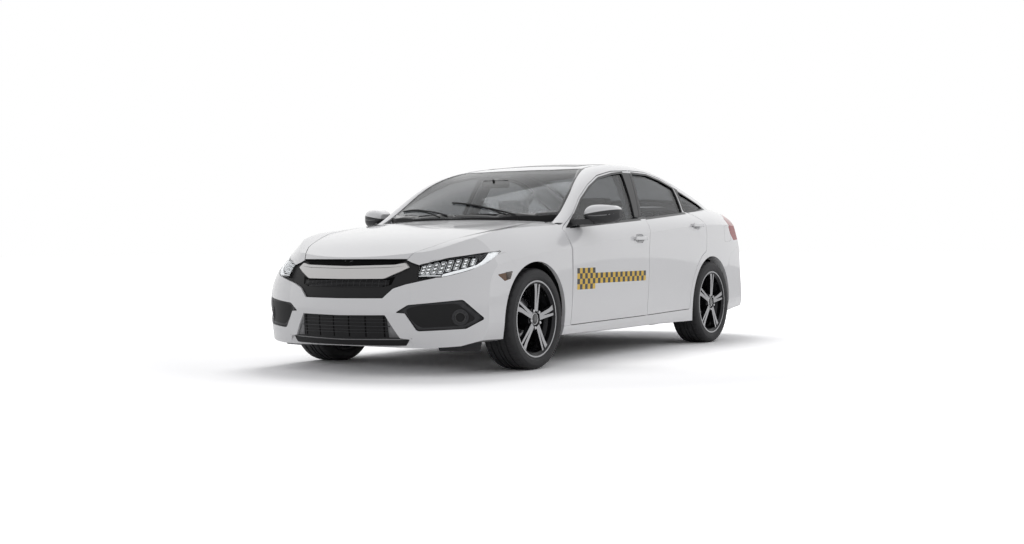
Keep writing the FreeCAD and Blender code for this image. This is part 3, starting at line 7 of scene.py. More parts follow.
import bmesh
import bpy
from mathutils import Matrix, Vector
from mathutils.bvhtree import BVHTree
from mathutils.geometry import tessellate_polygon


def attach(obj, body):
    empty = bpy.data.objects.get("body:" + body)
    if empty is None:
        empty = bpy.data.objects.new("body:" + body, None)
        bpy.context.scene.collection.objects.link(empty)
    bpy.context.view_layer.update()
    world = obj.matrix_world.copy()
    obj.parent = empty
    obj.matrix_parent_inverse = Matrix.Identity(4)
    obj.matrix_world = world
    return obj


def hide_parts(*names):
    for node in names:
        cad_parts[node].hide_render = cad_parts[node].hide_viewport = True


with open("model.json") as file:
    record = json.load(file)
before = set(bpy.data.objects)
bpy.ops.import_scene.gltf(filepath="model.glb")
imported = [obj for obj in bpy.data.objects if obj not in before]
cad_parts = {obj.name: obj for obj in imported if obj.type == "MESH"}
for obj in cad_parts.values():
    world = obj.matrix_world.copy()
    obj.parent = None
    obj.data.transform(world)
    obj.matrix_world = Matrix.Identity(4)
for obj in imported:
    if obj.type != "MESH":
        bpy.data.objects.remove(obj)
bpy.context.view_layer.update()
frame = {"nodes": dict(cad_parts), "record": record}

NODES = frame["nodes"]
SIDES = (("left", 1), ("right", -1))
ROWS = ("front", "rear")

# sizes shared with the frame, in metres
FRONT_AXLE, REAR_AXLE, AXLE_HEIGHT = -1.42, 1.28, 0.323
MID = -0.07
PILLAR = 0.155

# ---- materials


def add_node(tree, kind, inputs=None, **settings):
    """A new shader node. inputs gives a socket's value, or the socket that feeds it."""
    made = tree.nodes.new("ShaderNode" + kind)
    for key, value in settings.items():
        setattr(made, key, value)
    for socket, value in (inputs or {}).items():
        if isinstance(value, bpy.types.NodeSocket):
            tree.links.new(value, made.inputs[socket])
        else:
            made.inputs[socket].default_value = value
    return made


def material(name, colour, rough=0.5, metal=0.0, coat=0.0, specular=0.5, see_through=0.0, ior=1.45, glow=0.0,
             sheen=0.0, mottle=None, grain=None, wear=None):
    """Principled material. mottle = (scale, dark share), grain = (scale, height m, detail), wear = rough noise."""
    m = bpy.data.materials.new(name)
    m.use_nodes = True
    tree = m.node_tree
    inputs = tree.nodes["Principled BSDF"].inputs
    for socket, value in (
        ("Base Color", (*colour, 1)), ("Roughness", rough), ("Metallic", metal), ("Coat Weight", coat),
        ("Coat Roughness", 0.03), ("Specular IOR Level", specular), ("Transmission Weight", see_through),
        ("IOR", ior), ("Sheen Weight", sheen),
    ):
        inputs[socket].default_value = value
    if glow:
        inputs["Emission Color"].default_value = (*colour, 1)
        inputs["Emission Strength"].default_value = glow
    place = add_node(tree, "TexCoord").outputs["Object"]
    if mottle:
        scale, share = mottle
        noise = add_node(tree, "TexNoise", {"Scale": scale, "Detail": 4, "Vector": place}).outputs["Fac"]
        darker = (*[c * (1 - share) for c in colour], 1)
        mix = add_node(tree, "Mix", {"A": (*colour, 1), "B": darker, "Factor": noise}, data_type="RGBA")
        tree.links.new(mix.outputs["Result"], inputs["Base Color"])
    if wear:
        scale, low, high = wear
        noise = add_node(tree, "TexNoise", {"Scale": scale, "Vector": place}).outputs["Fac"]
        spread = add_node(tree, "MapRange", {"To Min": low, "To Max": high, "Value": noise})
        tree.links.new(spread.outputs["Result"], inputs["Roughness"])
    if grain:
        scale, height, detail = grain
        noise = add_node(tree, "TexNoise", {"Scale": scale, "Detail": detail, "Vector": place}).outputs["Fac"]
        bump = add_node(tree, "Bump", {"Distance": height, "Strength": 1.0, "Height": noise})
        tree.links.new(bump.outputs["Normal"], inputs["Normal"])
    return m


def combine(tree, operation, a, b):
    return b if a is None else add_node(tree, "Math", {0: a, 1: b}, operation=operation).outputs[0]


def mask_factor(tree, areas, soft=0.0006):
    """Socket that is 1 inside any of these convex areas: lists of (x, y, z, offset), inside where n.P > offset."""
    place = add_node(tree, "TexCoord").outputs["Object"]
    total = None
    for area in areas:
        within_area = None
        for x, y, z, offset in area:
            dot = add_node(tree, "VectorMath", {0: place, 1: (x, y, z)}, operation="DOT_PRODUCT").outputs["Value"]
            step = add_node(tree, "MapRange", {"From Min": offset - soft, "From Max": offset + soft, "Value": dot})
            within_area = combine(tree, "MULTIPLY", within_area, step.outputs["Result"])
        total = combine(tree, "MAXIMUM", total, within_area)
    return total


def repainted(base, name, factor_of, colour, rough, coat=0.1):
    """A copy of a material whose colour, roughness and coat change where factor_of(tree) is 1."""
    m = base.copy()
    m.name = name
    tree = m.node_tree
    inputs = next(n for n in tree.nodes if n.type == "BSDF_PRINCIPLED").inputs
    factor = factor_of(tree)
    for socket, value, kind in (
        ("Base Color", (*colour, 1), "RGBA"), ("Roughness", rough, "FLOAT"), ("Coat Weight", coat, "FLOAT"),
    ):
        target = inputs[socket]
        before = target.links[0].from_socket if target.is_linked else target.default_value
        mix = add_node(tree, "Mix", data_type=kind)
        slots = [s for s in mix.inputs if s.enabled]
        tree.links.new(factor, slots[0])
        if target.is_linked:
            tree.links.new(before, slots[1])
        else:
            slots[1].default_value = before
        slots[2].default_value = value
        tree.links.new(next(s for s in mix.outputs if s.enabled), target)
    return m


PAINT = material("white_paint", (0.8, 0.8, 0.81), 0.3, coat=1.0, mottle=(3.0, 0.02), grain=(900, 0.00001, 1))
TRIM_PAINT = material("pearl_paint", (0.76, 0.745, 0.725), 0.3, coat=1.0, mottle=(3.0, 0.02))
GLASS = material("tinted_glass", (0.3, 0.31, 0.32), 0.0, see_through=1.0, ior=1.01, coat=0.7)
LENS = material("lamp_lens", (0.97, 0.98, 0.99), 0.0, see_through=1.0, ior=1.12)
DARK = material("dark_plastic", (0.014, 0.014, 0.015), 0.5, specular=0.25, grain=(1400, 0.00005, 2))
GREY = material("grey_plastic", (0.042, 0.042, 0.045), 0.45, specular=0.3, grain=(1200, 0.00004, 2))
GLOSS_DARK = material("gloss_black", (0.012, 0.012, 0.014), 0.16, coat=0.5, wear=(20, 0.12, 0.2))
# near-black for sheets that stand in for the shade inside slots, recesses and gaps: painted shade
PAINTED_SHADE = material("painted_shade_black", (0.003, 0.003, 0.003), 0.7, specular=0.05, grain=(600, 0.0001, 2))
RUBBER = material("tyre_rubber", (0.03, 0.03, 0.032), 0.62, mottle=(30, 0.3), grain=(700, 0.0001, 3))
ALLOY = material("alloy", (0.02, 0.02, 0.022), 0.3, metal=0.6, wear=(60, 0.24, 0.36))
BRIGHT = material("bright_metal", (0.72, 0.72, 0.73), 0.22, metal=1.0, wear=(60, 0.16, 0.3))
BRUSHED = material("brake_metal", (0.36, 0.36, 0.37), 0.35, metal=0.9, mottle=(25, 0.3), grain=(500, 0.0001, 3))
REFLECTOR = material("lamp_reflector", (0.55, 0.56, 0.57), 0.18, metal=0.9, wear=(80, 0.1, 0.3))
CELL = material("lamp_cell", (0.26, 0.265, 0.26), 0.25, metal=0.4, mottle=(160, 0.5), wear=(90, 0.15, 0.4))
LIGHT_BAR = material("light_guide", (0.92, 0.93, 0.94), 0.25, coat=0.6, glow=0.25, mottle=(200, 0.03))
MIRROR = material("mirror_glass", (0.85, 0.86, 0.87), 0.03, metal=1.0, wear=(10, 0.02, 0.05))
AMBER = material("amber_lens", (0.12, 0.05, 0.015), 0.12, coat=0.2, grain=(500, 0.0002, 1))
RED = material("red_lens", (0.3, 0.004, 0.006), 0.15, coat=0.25, specular=0.3, grain=(300, 0.0002, 1))
STEEL = material("dark_steel", (0.045, 0.045, 0.048), 0.5, metal=0.3, mottle=(12, 0.4), grain=(200, 0.0002, 3))
CAST = material("cast_metal", (0.24, 0.24, 0.25), 0.55, metal=0.8, mottle=(20, 0.4), grain=(300, 0.0003, 4))
TRIM = material("dark_trim", (0.035, 0.035, 0.037), 0.6, grain=(900, 0.0001, 2))
CLOTH = material("seat_cloth", (0.05, 0.05, 0.055), 0.85, sheen=0.3, mottle=(60, 0.35), grain=(1500, 0.0002, 2))
PLATE = material("blank_plate", (0.78, 0.78, 0.76), 0.4, coat=0.3, mottle=(40, 0.04), grain=(800, 0.00005, 1))
YELLOW = material("livery_yellow", (0.83, 0.52, 0.02), 0.3, coat=0.8, mottle=(30, 0.04))
BLACK = material("livery_black", (0.01, 0.01, 0.011), 0.3, coat=0.8, mottle=(30, 0.2))
SATIN = material("satin_grey", (0.22, 0.22, 0.225), 0.32, metal=0.4, wear=(40, 0.26, 0.4))
SEAM = material("panel_seam", (0.12, 0.12, 0.12), 0.6, grain=(500, 0.00005, 1))
BROWN = material("marker_brown", (0.055, 0.035, 0.022), 0.25, coat=0.5, grain=(500, 0.0001, 1))
RED_DARK = material("tail_inner_red", (0.2, 0.004, 0.006), 0.25, coat=0.4, grain=(900, 0.0003, 1))
PALE_LENS = material("reverse_lens", (0.62, 0.6, 0.6), 0.15, coat=0.6, grain=(400, 0.0002, 1))


CAP = (0.16, 0.858)  # slope against x, and height, of the mirror's painted cap
FRONT_GLASS = [
    (-0.838, 0.92), (-0.786, 0.972), (-0.588, 1.098), (-0.39, 1.191), (-0.182, 1.263), (0.064, 1.303),
    (PILLAR + 0.066, 1.318), (PILLAR - 0.002, 0.98),
]
REAR_GLASS = [
    (PILLAR + 0.11, 0.988), (PILLAR + 0.226, 1.319), (PILLAR + 0.48, 1.316), (REAR_AXLE - 0.43, 1.278),
    (REAR_AXLE - 0.262, 1.228), (REAR_AXLE - 0.286, 1.038),
]
MIDDLE_PILLAR = [(PILLAR - 0.02, 0.972), (PILLAR + 0.052, 1.326), (PILLAR + 0.24, 1.326), (PILLAR + 0.124, 0.98)]
MIRROR_SAIL = [(-0.925, 0.906), (-0.77, 1.004), (-0.77, 0.912)]


def inside(outline, margin):
    """Half spaces that bound a convex outline, given clockwise from the left as (y, z), grown by a margin."""
    planes = []
    for (y0, z0), (y1, z1) in zip(outline, outline[1:] + outline[:1]):
        along = math.hypot(y1 - y0, z1 - z0)
        across = ((z1 - z0) / along, (y0 - y1) / along)
        planes.append((0, *across, across[0] * y0 + across[1] * z0 - margin))
    return planes


QUARTER_GLASS = [(1.056, 1.046), (1.08, 1.204), (1.22, 1.158), (1.37, 1.11), (1.456, 1.076)]
QUARTER_POST = [(1.0, 1.03), (1.012, 1.236), (1.09, 1.212), (1.066, 1.034)]
BEHIND_RAIL = (0.13, 0.5)  # slope against y, and least distance from the middle, of the quarter's black surround
TAIL_LENS = [
    (1.668, 0.925), (1.705, 0.988), (2.06, 1.085), (2.06, 0.835), (1.775, 0.815), (1.7, 0.87),
]
AROUND_QUARTER = [
    inside(outline, 0.013) + [(sign, -BEHIND_RAIL[0], 0, BEHIND_RAIL[1])]
    for outline in (QUARTER_GLASS, QUARTER_POST) for _, sign in SIDES
]
AROUND_DOOR_GLASS = [
    inside(FRONT_GLASS, 0.015), inside(REAR_GLASS, 0.015), inside(MIDDLE_PILLAR, 0.0), inside(MIRROR_SAIL, 0.0)
]
TRACK = {"front": 1.547, "rear": 1.563}
FACES_OUT, CUT_PLANE = 0.93, 0.0935  # least x of the normal, and distance from the wheel's middle


def machined(middle):
    """Mask of the faces cut bright on a wheel: those that look outwards near its outer plane."""

    def factor(tree):
        coordinates = add_node(tree, "TexCoord")
        made = None
        for output, limit in (("Normal", FACES_OUT), ("Object", middle + CUT_PLANE)):
            split = add_node(tree, "SeparateXYZ", {0: coordinates.outputs[output]})
            size = add_node(tree, "Math", {0: split.outputs["X"]}, operation="ABSOLUTE")
            test = add_node(tree, "Math", {0: size.outputs[0], 1: limit}, operation="GREATER_THAN")
            made = combine(tree, "MULTIPLY", made, test.outputs[0])
        return made

    return factor


def within(areas):
    return lambda tree: mask_factor(tree, areas)


BLACKED = (0.014, 0.014, 0.016)
LENS_RED = (0.3, 0.004, 0.006)
DOOR_PAINT = repainted(PAINT, "door_paint", within(AROUND_DOOR_GLASS), BLACKED, 0.3)
QUARTER_PAINT = repainted(PAINT, "side_paint", within(AROUND_QUARTER), BLACKED, 0.3)
SIDE_PAINT = repainted(QUARTER_PAINT, "body_side_paint", within([inside(TAIL_LENS, 0)]), LENS_RED, 0.15, coat=0.25)
CUT_FACE = (0.5, 0.5, 0.51)
WHEEL_FINISH = {row: repainted(ALLOY, f"{row}_alloy", machined(TRACK[row] / 2), CUT_FACE, 0.24) for row in ROWS}
LOOK = {
    "white_paint": PAINT, "tinted_glass": GLASS, "clear_lamp": LENS, "dark_plastic": DARK, "amber_lamp": AMBER,
    "red_lamp": RED, "dark_steel": STEEL, "cast_metal": CAST, "dark_trim": TRIM, "seat_cloth": CLOTH,
    "alloy": ALLOY, "tyre_rubber": RUBBER,
}
SPECIAL = {"grille_bar": TRIM_PAINT, "knuckle_left": BRUSHED, "knuckle_right": BRUSHED}
for row in ROWS:
    for side, _ in SIDES:
        SPECIAL[f"door_{row}_{side}"] = DOOR_PAINT
        SPECIAL[f"body_side_{side}"] = SIDE_PAINT
        SPECIAL[f"wheel_{row}_{side}"] = WHEEL_FINISH[row]
SLOT_OF = {row["node"]: row["material_slot"] for row in frame["record"]["subparts"]}
for name, node in NODES.items():
    node.data.materials.clear()
    node.data.materials.append(SPECIAL.get(name, LOOK[SLOT_OF[name]]))

# ---- building tools


def piece(name, points, faces, look, body="chassis", slot="dark_plastic", smooth=True):
    """A mesh object in the row frame that rides on a body."""
    mesh = bpy.data.meshes.new(name)
    mesh.from_pydata([tuple(p) for p in points], [], [tuple(f) for f in faces])
    mesh.validate()
    mesh.materials.append(look)
    mesh.polygons.foreach_set("use_smooth", [smooth] * len(mesh.polygons))
    mesh.update()
    made = bpy.data.objects.new(name, mesh)
    bpy.context.scene.collection.objects.link(made)
    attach(made, body)
    return made


def on_both_sides(name, points, faces, look, body="chassis", slot="dark_plastic", smooth=True):
    """The piece on the left and its mirror image; body may hold {side}."""
    made = []
    for side, sign in SIDES:
        p, f = points, faces
        if sign < 0:
            p, f = [(-x, y, z) for x, y, z in points], [face[::-1] for face in faces]
        made.append(piece(f"{name}_{side}", p, f, look, body.format(side=side), slot, smooth))
    return made


@functools.cache
def skin(*names):
    """Search tree over the faces of these CAD nodes."""
    points, faces = [], []
    for name in names:
        mesh = NODES[name].data
        start = len(points)
        points += [v.co.copy() for v in mesh.vertices]
        faces += [[start + i for i in p.vertices] for p in mesh.polygons]
    return BVHTree.FromPolygons(points, faces)


def view_side(u, v):
    return Vector((1.5, u, v)), Vector((-1, 0, 0))


def view_right(u, v):
    return Vector((-1.5, u, v)), Vector((1, 0, 0))


def view_top(u, v):
    return Vector((u, v, 2.0)), Vector((0, 0, -1))


def view_front(u, v):
    return Vector((u, -2.9, v)), Vector((0, 1, 0))


def view_rear(u, v):
    return Vector((u, 2.9, v)), Vector((0, -1, 0))


def view_quarter(angle):
    """Rays of a level view that many degrees round from the front, as in the frame's own outlines."""
    c, s = math.cos(math.radians(angle)), math.sin(math.radians(angle))

    def ray(u, v):
        return Vector((u * c + 3.2 * s, u * s - 3.2 * c, v)), Vector((-s, c, 0))

    return ray


def landed(tree, view, u, v):
    """Where the ray meets the skin, searching round it where it passes through a seam."""
    at, along = view(u, v)
    hit = tree.ray_cast(at, along)[0]
    if hit is None:
        for reach in (0.004, 0.01, 0.02, 0.04):
            for du, dv in ((1, 0), (-1, 0), (0, 1), (0, -1), (1, 1), (-1, 1), (1, -1), (-1, -1)):
                near, _ = view(u + du * reach, v + dv * reach)
                found = tree.ray_cast(near, along)[0]
                if found is not None:
                    return at + along * (found - near).dot(along)
        nearest = tree.find_nearest(at + along * 2.0)[0]
        return at + along * (nearest - at).dot(along)
    return hit


def sheet_over(rings, view, onto, depth=0.0, thick=0.002, step=0.02):
    """Points and faces of a shell over a skin. rings are outlines in the view, the first outside and the rest holes.

    depth is how far the front lies inside the skin along the view; below 0 it stands proud of the skin.
    """
    tree = skin(*onto)
    flat = [[Vector((u, v, 0)) for u, v in ring] for ring in rings]
    corners = [p for ring in flat for p in ring]
    bm = bmesh.new()
    made = [bm.verts.new(p) for p in corners]
    for a, b, c in tessellate_polygon(flat):
        try:
            bm.faces.new((made[a], made[b], made[c]))
        except ValueError:
            pass
    for axis in (0, 1):
        low = min(p[axis] for p in corners)
        high = max(p[axis] for p in corners)
        count = max(1, int(round((high - low) / step)))
        places = [low + (high - low) * i / count for i in range(1, count)]
        normal = Vector((1, 0, 0)) if axis == 0 else Vector((0, 1, 0))
        for place in places:
            bmesh.ops.bisect_plane(
                bm, geom=bm.verts[:] + bm.edges[:] + bm.faces[:], dist=1e-6, plane_co=normal * place, plane_no=normal
            )
    bmesh.ops.remove_doubles(bm, verts=bm.verts, dist=1e-5)
    bmesh.ops.recalc_face_normals(bm, faces=bm.faces)
    bm.verts.index_update()
    fronts, backs = [], []
    for vert in bm.verts:
        u, v = vert.co.x, vert.co.y
        along = view(u, v)[1]
        at = landed(tree, view, u, v)
        fronts.append(at + along * depth)
        backs.append(at + along * (depth + thick))
    count = len(fronts)
    faces = []
    u_way = view(0.01, 0)[0] - view(0, 0)[0]
    v_way = view(0, 0.01)[0] - view(0, 0)[0]
    facing = u_way.cross(v_way).dot(view(0, 0)[1]) < 0
    for face in bm.faces:
        ids = [v.index for v in face.verts]
        if (face.normal.z > 0) != facing:
            ids.reverse()
        faces.append(tuple(ids))
        faces.append(tuple(i + count for i in reversed(ids)))
    used = {}
    for ids in faces[::2]:
        for a, b in zip(ids, ids[1:] + ids[:1]):
            used[(a, b)] = True
    for a, b in used:
        if (b, a) not in used:
            faces.append((b, a, a + count, b + count))
    bm.free()
    return fronts + backs, faces


def fitted(name, look, *sheet, body="chassis", slot="dark_plastic"):
    """A piece made by sheet_over from the arguments after the look."""
    piece(name, *sheet_over(*sheet), look, body, slot)


def fitted_pair(name, look, *sheet, body="chassis", slot="dark_plastic"):
    on_both_sides(name, *sheet_over(*sheet), look, body, slot)


def box(u0, v0, u1, v1):
    return [(u0, v0), (u1, v0), (u1, v1), (u0, v1)]


def scaled(points, middle, factor):
    """An outline made smaller or larger about a point."""
    middle = Vector(middle)
    return [tuple(middle + (Vector(p) - middle) * factor) for p in points]


def rounded(points, radius, steps=4):
    """A polygon with its corners rounded."""
    made = []
    count = len(points)
    for i in range(count):
        before, here, after = (Vector(points[j % count]) for j in (i - 1, i, i + 1))
        back, ahead = before - here, after - here
        reach = min(radius, back.length * 0.45, ahead.length * 0.45)
        start, end = here + back.normalized() * reach, here + ahead.normalized() * reach
        for k in range(steps + 1):
            t = k / steps
            made.append(tuple((1 - t) ** 2 * start + 2 * t * (1 - t) * here + t * t * end))
    return made


def symmetric(points):
    """A full outline from its left half, whose ends lie on the centre line."""
    return points + [(-u, v) for u, v in points[-2:0:-1]]


def strip(line, width, taper=1.0):
    """Outline of a band along a polyline; width in metres, narrowed to taper at both ends."""
    left, right = [], []
    count = len(line)
    for i, p in enumerate(line):
        a, b = Vector(line[max(i - 1, 0)]), Vector(line[min(i + 1, count - 1)])
        way = (b - a).normalized()
        side = Vector((-way.y, way.x))
        half = width / 2 * (taper if i in (0, count - 1) else 1.0)
        left.append(tuple(Vector(p) + side * half))
        right.append(tuple(Vector(p) - side * half))
    return left + right[::-1]


def turned(profile, middle, steps, modify=None):
    """Ring round the wheel axle through middle from (x, radius) points; modify(i, j, x, r) may move a point."""
    points, faces = [], []
    n = len(profile)
    for i in range(steps):
        angle = 2 * math.pi * i / steps
        for j, (x, r) in enumerate(profile):
            if modify:
                x, r = modify(i, j, x, r)
            points.append((middle.x + x, middle.y + r * math.sin(angle), middle.z + r * math.cos(angle)))
    for i in range(steps):
        k = (i + 1) % steps
        for j in range(n):
            m = (j + 1) % n
            faces.append((i * n + j, i * n + m, k * n + m, k * n + j))
    return points, faces


def rod_between(a, b, radius, sides=12):
    """Closed round bar."""
    a, b = Vector(a), Vector(b)
    way = (b - a).normalized()
    u = way.orthogonal().normalized()
    v = way.cross(u)
    points = []
    for end in (a, b):
        for i in range(sides):
            t = 2 * math.pi * i / sides
            points.append(end + (u * math.cos(t) + v * math.sin(t)) * radius)
    faces = [(i, (i + 1) % sides, sides + (i + 1) % sides, sides + i) for i in range(sides)]
    faces += [tuple(range(sides))[::-1], tuple(range(sides, 2 * sides))]
    return points, faces


def joined(parts):
    points, faces = [], []
    for p, f in parts:
        start = len(points)
        points += list(p)
        faces += [tuple(i + start for i in face) for face in f]
    return points, faces


def taken(bm):
    """Points and faces of a bmesh, which is then freed."""
    points = [v.co.copy() for v in bm.verts]
    faces = [tuple(v.index for v in f.verts) for f in bm.faces]
    bm.free()
    return points, faces


def block(low, high, bevel=0.003):
    """Box with chamfered edges."""
    bm = bmesh.new()
    bmesh.ops.create_cube(bm, size=1)
    size = Vector(high) - Vector(low)
    centre = (Vector(high) + Vector(low)) / 2
    for v in bm.verts:
        v.co = Vector((v.co.x * size.x, v.co.y * size.y, v.co.z * size.z)) + centre
    bmesh.ops.bevel(bm, geom=bm.edges[:] + bm.verts[:], offset=bevel, segments=2, affect="EDGES")
    return taken(bm)


def circle_at(u, v, radius, steps):
    return [(u + radius * math.cos(2 * math.pi * i / steps), v + radius * math.sin(2 * math.pi * i / steps))
            for i in range(steps)]


def wall_round(ring, view, onto, near, far, thick=0.0015):
    """Thin wall that follows an outline on a skin, from one depth to another."""
    tree = skin(*onto)
    count = len(ring)
    middle = sum((Vector(p) for p in ring), Vector((0, 0))) / count
    points, faces = [], []
    for u, v in ring:
        along = view(u, v)[1]
        at = landed(tree, view, u, v)
        toward = (middle - Vector((u, v))).normalized() * thick
        inner = view(u + toward.x, v + toward.y)[0] - view(u, v)[0]
        points += [at + along * near, at + along * far, at + along * far + inner, at + along * near + inner]
    for i in range(count):
        a, b = 4 * i, 4 * ((i + 1) % count)
        for j in range(4):
            k = (j + 1) % 4
            faces.append((a + j, b + j, b + k, a + k))
    return points, faces


# ---- front lamps and grilles

LAMP_VIEW = view_quarter(40)  # u runs from the car's right to its left, v is height
FOG_VIEW = view_quarter(30)
LAMP_OUTLINE = [
    (-1.019, 0.599), (-1.001, 0.68), (-0.92, 0.706), (-0.833, 0.719), (-0.715, 0.737), (-0.597, 0.75),
    (-0.484, 0.761), (-0.53, 0.722), (-0.59, 0.688), (-0.645, 0.664), (-0.7, 0.646), (-0.75, 0.631),
    (-0.8, 0.62), (-0.88, 0.604),
]
LIGHT_BAR_OUTLINE = [
    (-0.876, 0.612), (-0.87, 0.606), (-0.8, 0.621), (-0.7, 0.647), (-0.645, 0.665), (-0.59, 0.689),
    (-0.53, 0.723), (-0.49, 0.758), (-0.575, 0.746), (-0.6, 0.716), (-0.628, 0.692), (-0.66, 0.674),
    (-0.712, 0.659), (-0.77, 0.646), (-0.832, 0.631), (-0.866, 0.622),
]
# One lamp cell's upper edge (u, v) and lower edge (u, v).
CELLS = [
    ((-0.968, 0.678), (-0.992, 0.618)), ((-0.932, 0.686), (-0.962, 0.618)), ((-0.892, 0.694), (-0.925, 0.62)),
    ((-0.85, 0.701), (-0.885, 0.622)), ((-0.806, 0.707), (-0.838, 0.636)), ((-0.758, 0.712), (-0.79, 0.645)),
    ((-0.71, 0.716), (-0.738, 0.657)), ((-0.663, 0.717), (-0.684, 0.672)),
]
LAMP_DEPTH = 0.04
LAMP = ("headlamps",)


def lamp_shell(rings, depth, thick, step=0.03):
    return sheet_over(rings, LAMP_VIEW, LAMP, depth, thick, step)


def headlamps():
    lens = lamp_shell([LAMP_OUTLINE], 0.0, 0.0022)
    inner = scaled(LAMP_OUTLINE, (-0.76, 0.68), 0.985)
    bowl = lamp_shell([inner], LAMP_DEPTH, 0.003)
    wall = wall_round(inner, LAMP_VIEW, LAMP, 0.0035, LAMP_DEPTH + 0.003)
    rim = lamp_shell([LAMP_OUTLINE, inner], 0.0024, 0.003, 0.05)
    bar = lamp_shell([LIGHT_BAR_OUTLINE], 0.006, 0.014)
    brow = [(-0.985, 0.684), (-0.833, 0.716), (-0.6, 0.747), (-0.575, 0.744), (-0.622, 0.7), (-0.64, 0.7)]
    brow += [(-0.655, 0.722), (-0.74, 0.722), (-0.86, 0.705), (-0.975, 0.684)]
    shade = lamp_shell([brow], 0.012, 0.006)
    thin = strip([(-1.008, 0.612), (-0.94, 0.613), (-0.88, 0.613)], 0.005)
    line = lamp_shell([thin], 0.01, 0.008)
    cups, frames, bulbs = [], [], []
    for (top_u, top_v), (low_u, low_v) in CELLS:
        half = 0.0165
        corners = [(top_u - half, top_v), (top_u + half, top_v), (low_u + half, low_v), (low_u - half, low_v)]
        cups.append(lamp_shell([rounded(corners, 0.006)], 0.03, 0.004, 0.01))
        opening = [(u * 0.8 + (top_u + low_u) * 0.1, v * 0.8 + (top_v + low_v) * 0.1) for u, v in corners]
        frames.append(lamp_shell([rounded(corners, 0.006), rounded(opening, 0.005)], 0.018, 0.012))
        for share in (0.25, 0.55, 0.82):
            u, v = top_u + (low_u - top_u) * share, top_v + (low_v - top_v) * share
            dot = [(u - 0.009, v + 0.004), (u + 0.01, v + 0.007), (u + 0.007, v - 0.001), (u - 0.007, v - 0.005)]
            bulbs.append(lamp_shell([dot], 0.022, 0.006))
    for name, shape, look in (
        ("lens", lens, LENS), ("housing", joined([bowl, wall]), GREY), ("seal", rim, GLOSS_DARK),
        ("light_bar", bar, LIGHT_BAR), ("shade", shade, GREY), ("light_line", line, LIGHT_BAR),
        ("cell_backs", joined(cups), CELL), ("cell_frames", joined(frames), REFLECTOR),
        ("cell_facets", joined(bulbs), LIGHT_BAR),
    ):
        made = on_both_sides(f"headlamp_{name}", *shape, look, "chassis", "clear_lamp", smooth=name != "cell_facets")
        if name == "housing":
            for one in made:
                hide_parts("headlamps")


FOG_LAMP = (-0.398, 0.362)


def fog_lamps():
    """Dark pods beside the lower grille, each with a step round it and a round lamp."""
    node = ("fog_lamp_panels",)
    step = [(-0.735, 0.412), (-0.64, 0.438), (-0.415, 0.446), (-0.3, 0.352), (-0.385, 0.312), (-0.64, 0.3)]
    step += [(-0.7, 0.35)]
    face = sheet_over([rounded(step, 0.03)], FOG_VIEW, node, 0.012, 0.004, 0.03)
    outer = [(-0.782, 0.393), (-0.716, 0.434), (-0.384, 0.465), (-0.258, 0.352), (-0.364, 0.298), (-0.658, 0.284)]
    outer += [(-0.728, 0.386)]
    frame_ring = sheet_over([rounded(outer, 0.02), rounded(step, 0.03)], FOG_VIEW, node, -0.0006, 0.006, 0.04)
    on_both_sides("fog_pod_frame", *frame_ring, GREY)
    on_both_sides("fog_pod_step", *wall_round(rounded(step, 0.03), FOG_VIEW, node, 0.0, 0.016), DARK)
    on_both_sides("fog_pod_face", *face, DARK)
    u, v = FOG_LAMP
    for name, outer_r, inner_r, depth, thick, look in (
        ("surround", 0.05, 0.032, -0.004, 0.016, GREY), ("bezel", 0.034, 0.027, -0.006, 0.014, GLOSS_DARK),
        ("lens", 0.028, 0.0, 0.002, 0.003, LENS), ("reflector", 0.0275, 0.0, 0.01, 0.003, REFLECTOR),
    ):
        circles = [circle_at(u, v, outer_r, 32)] + ([circle_at(u, v, inner_r, 32)] if inner_r else [])
        fitted_pair(f"fog_lamp_{name}", look, circles, FOG_VIEW, node, depth, thick, 0.02)


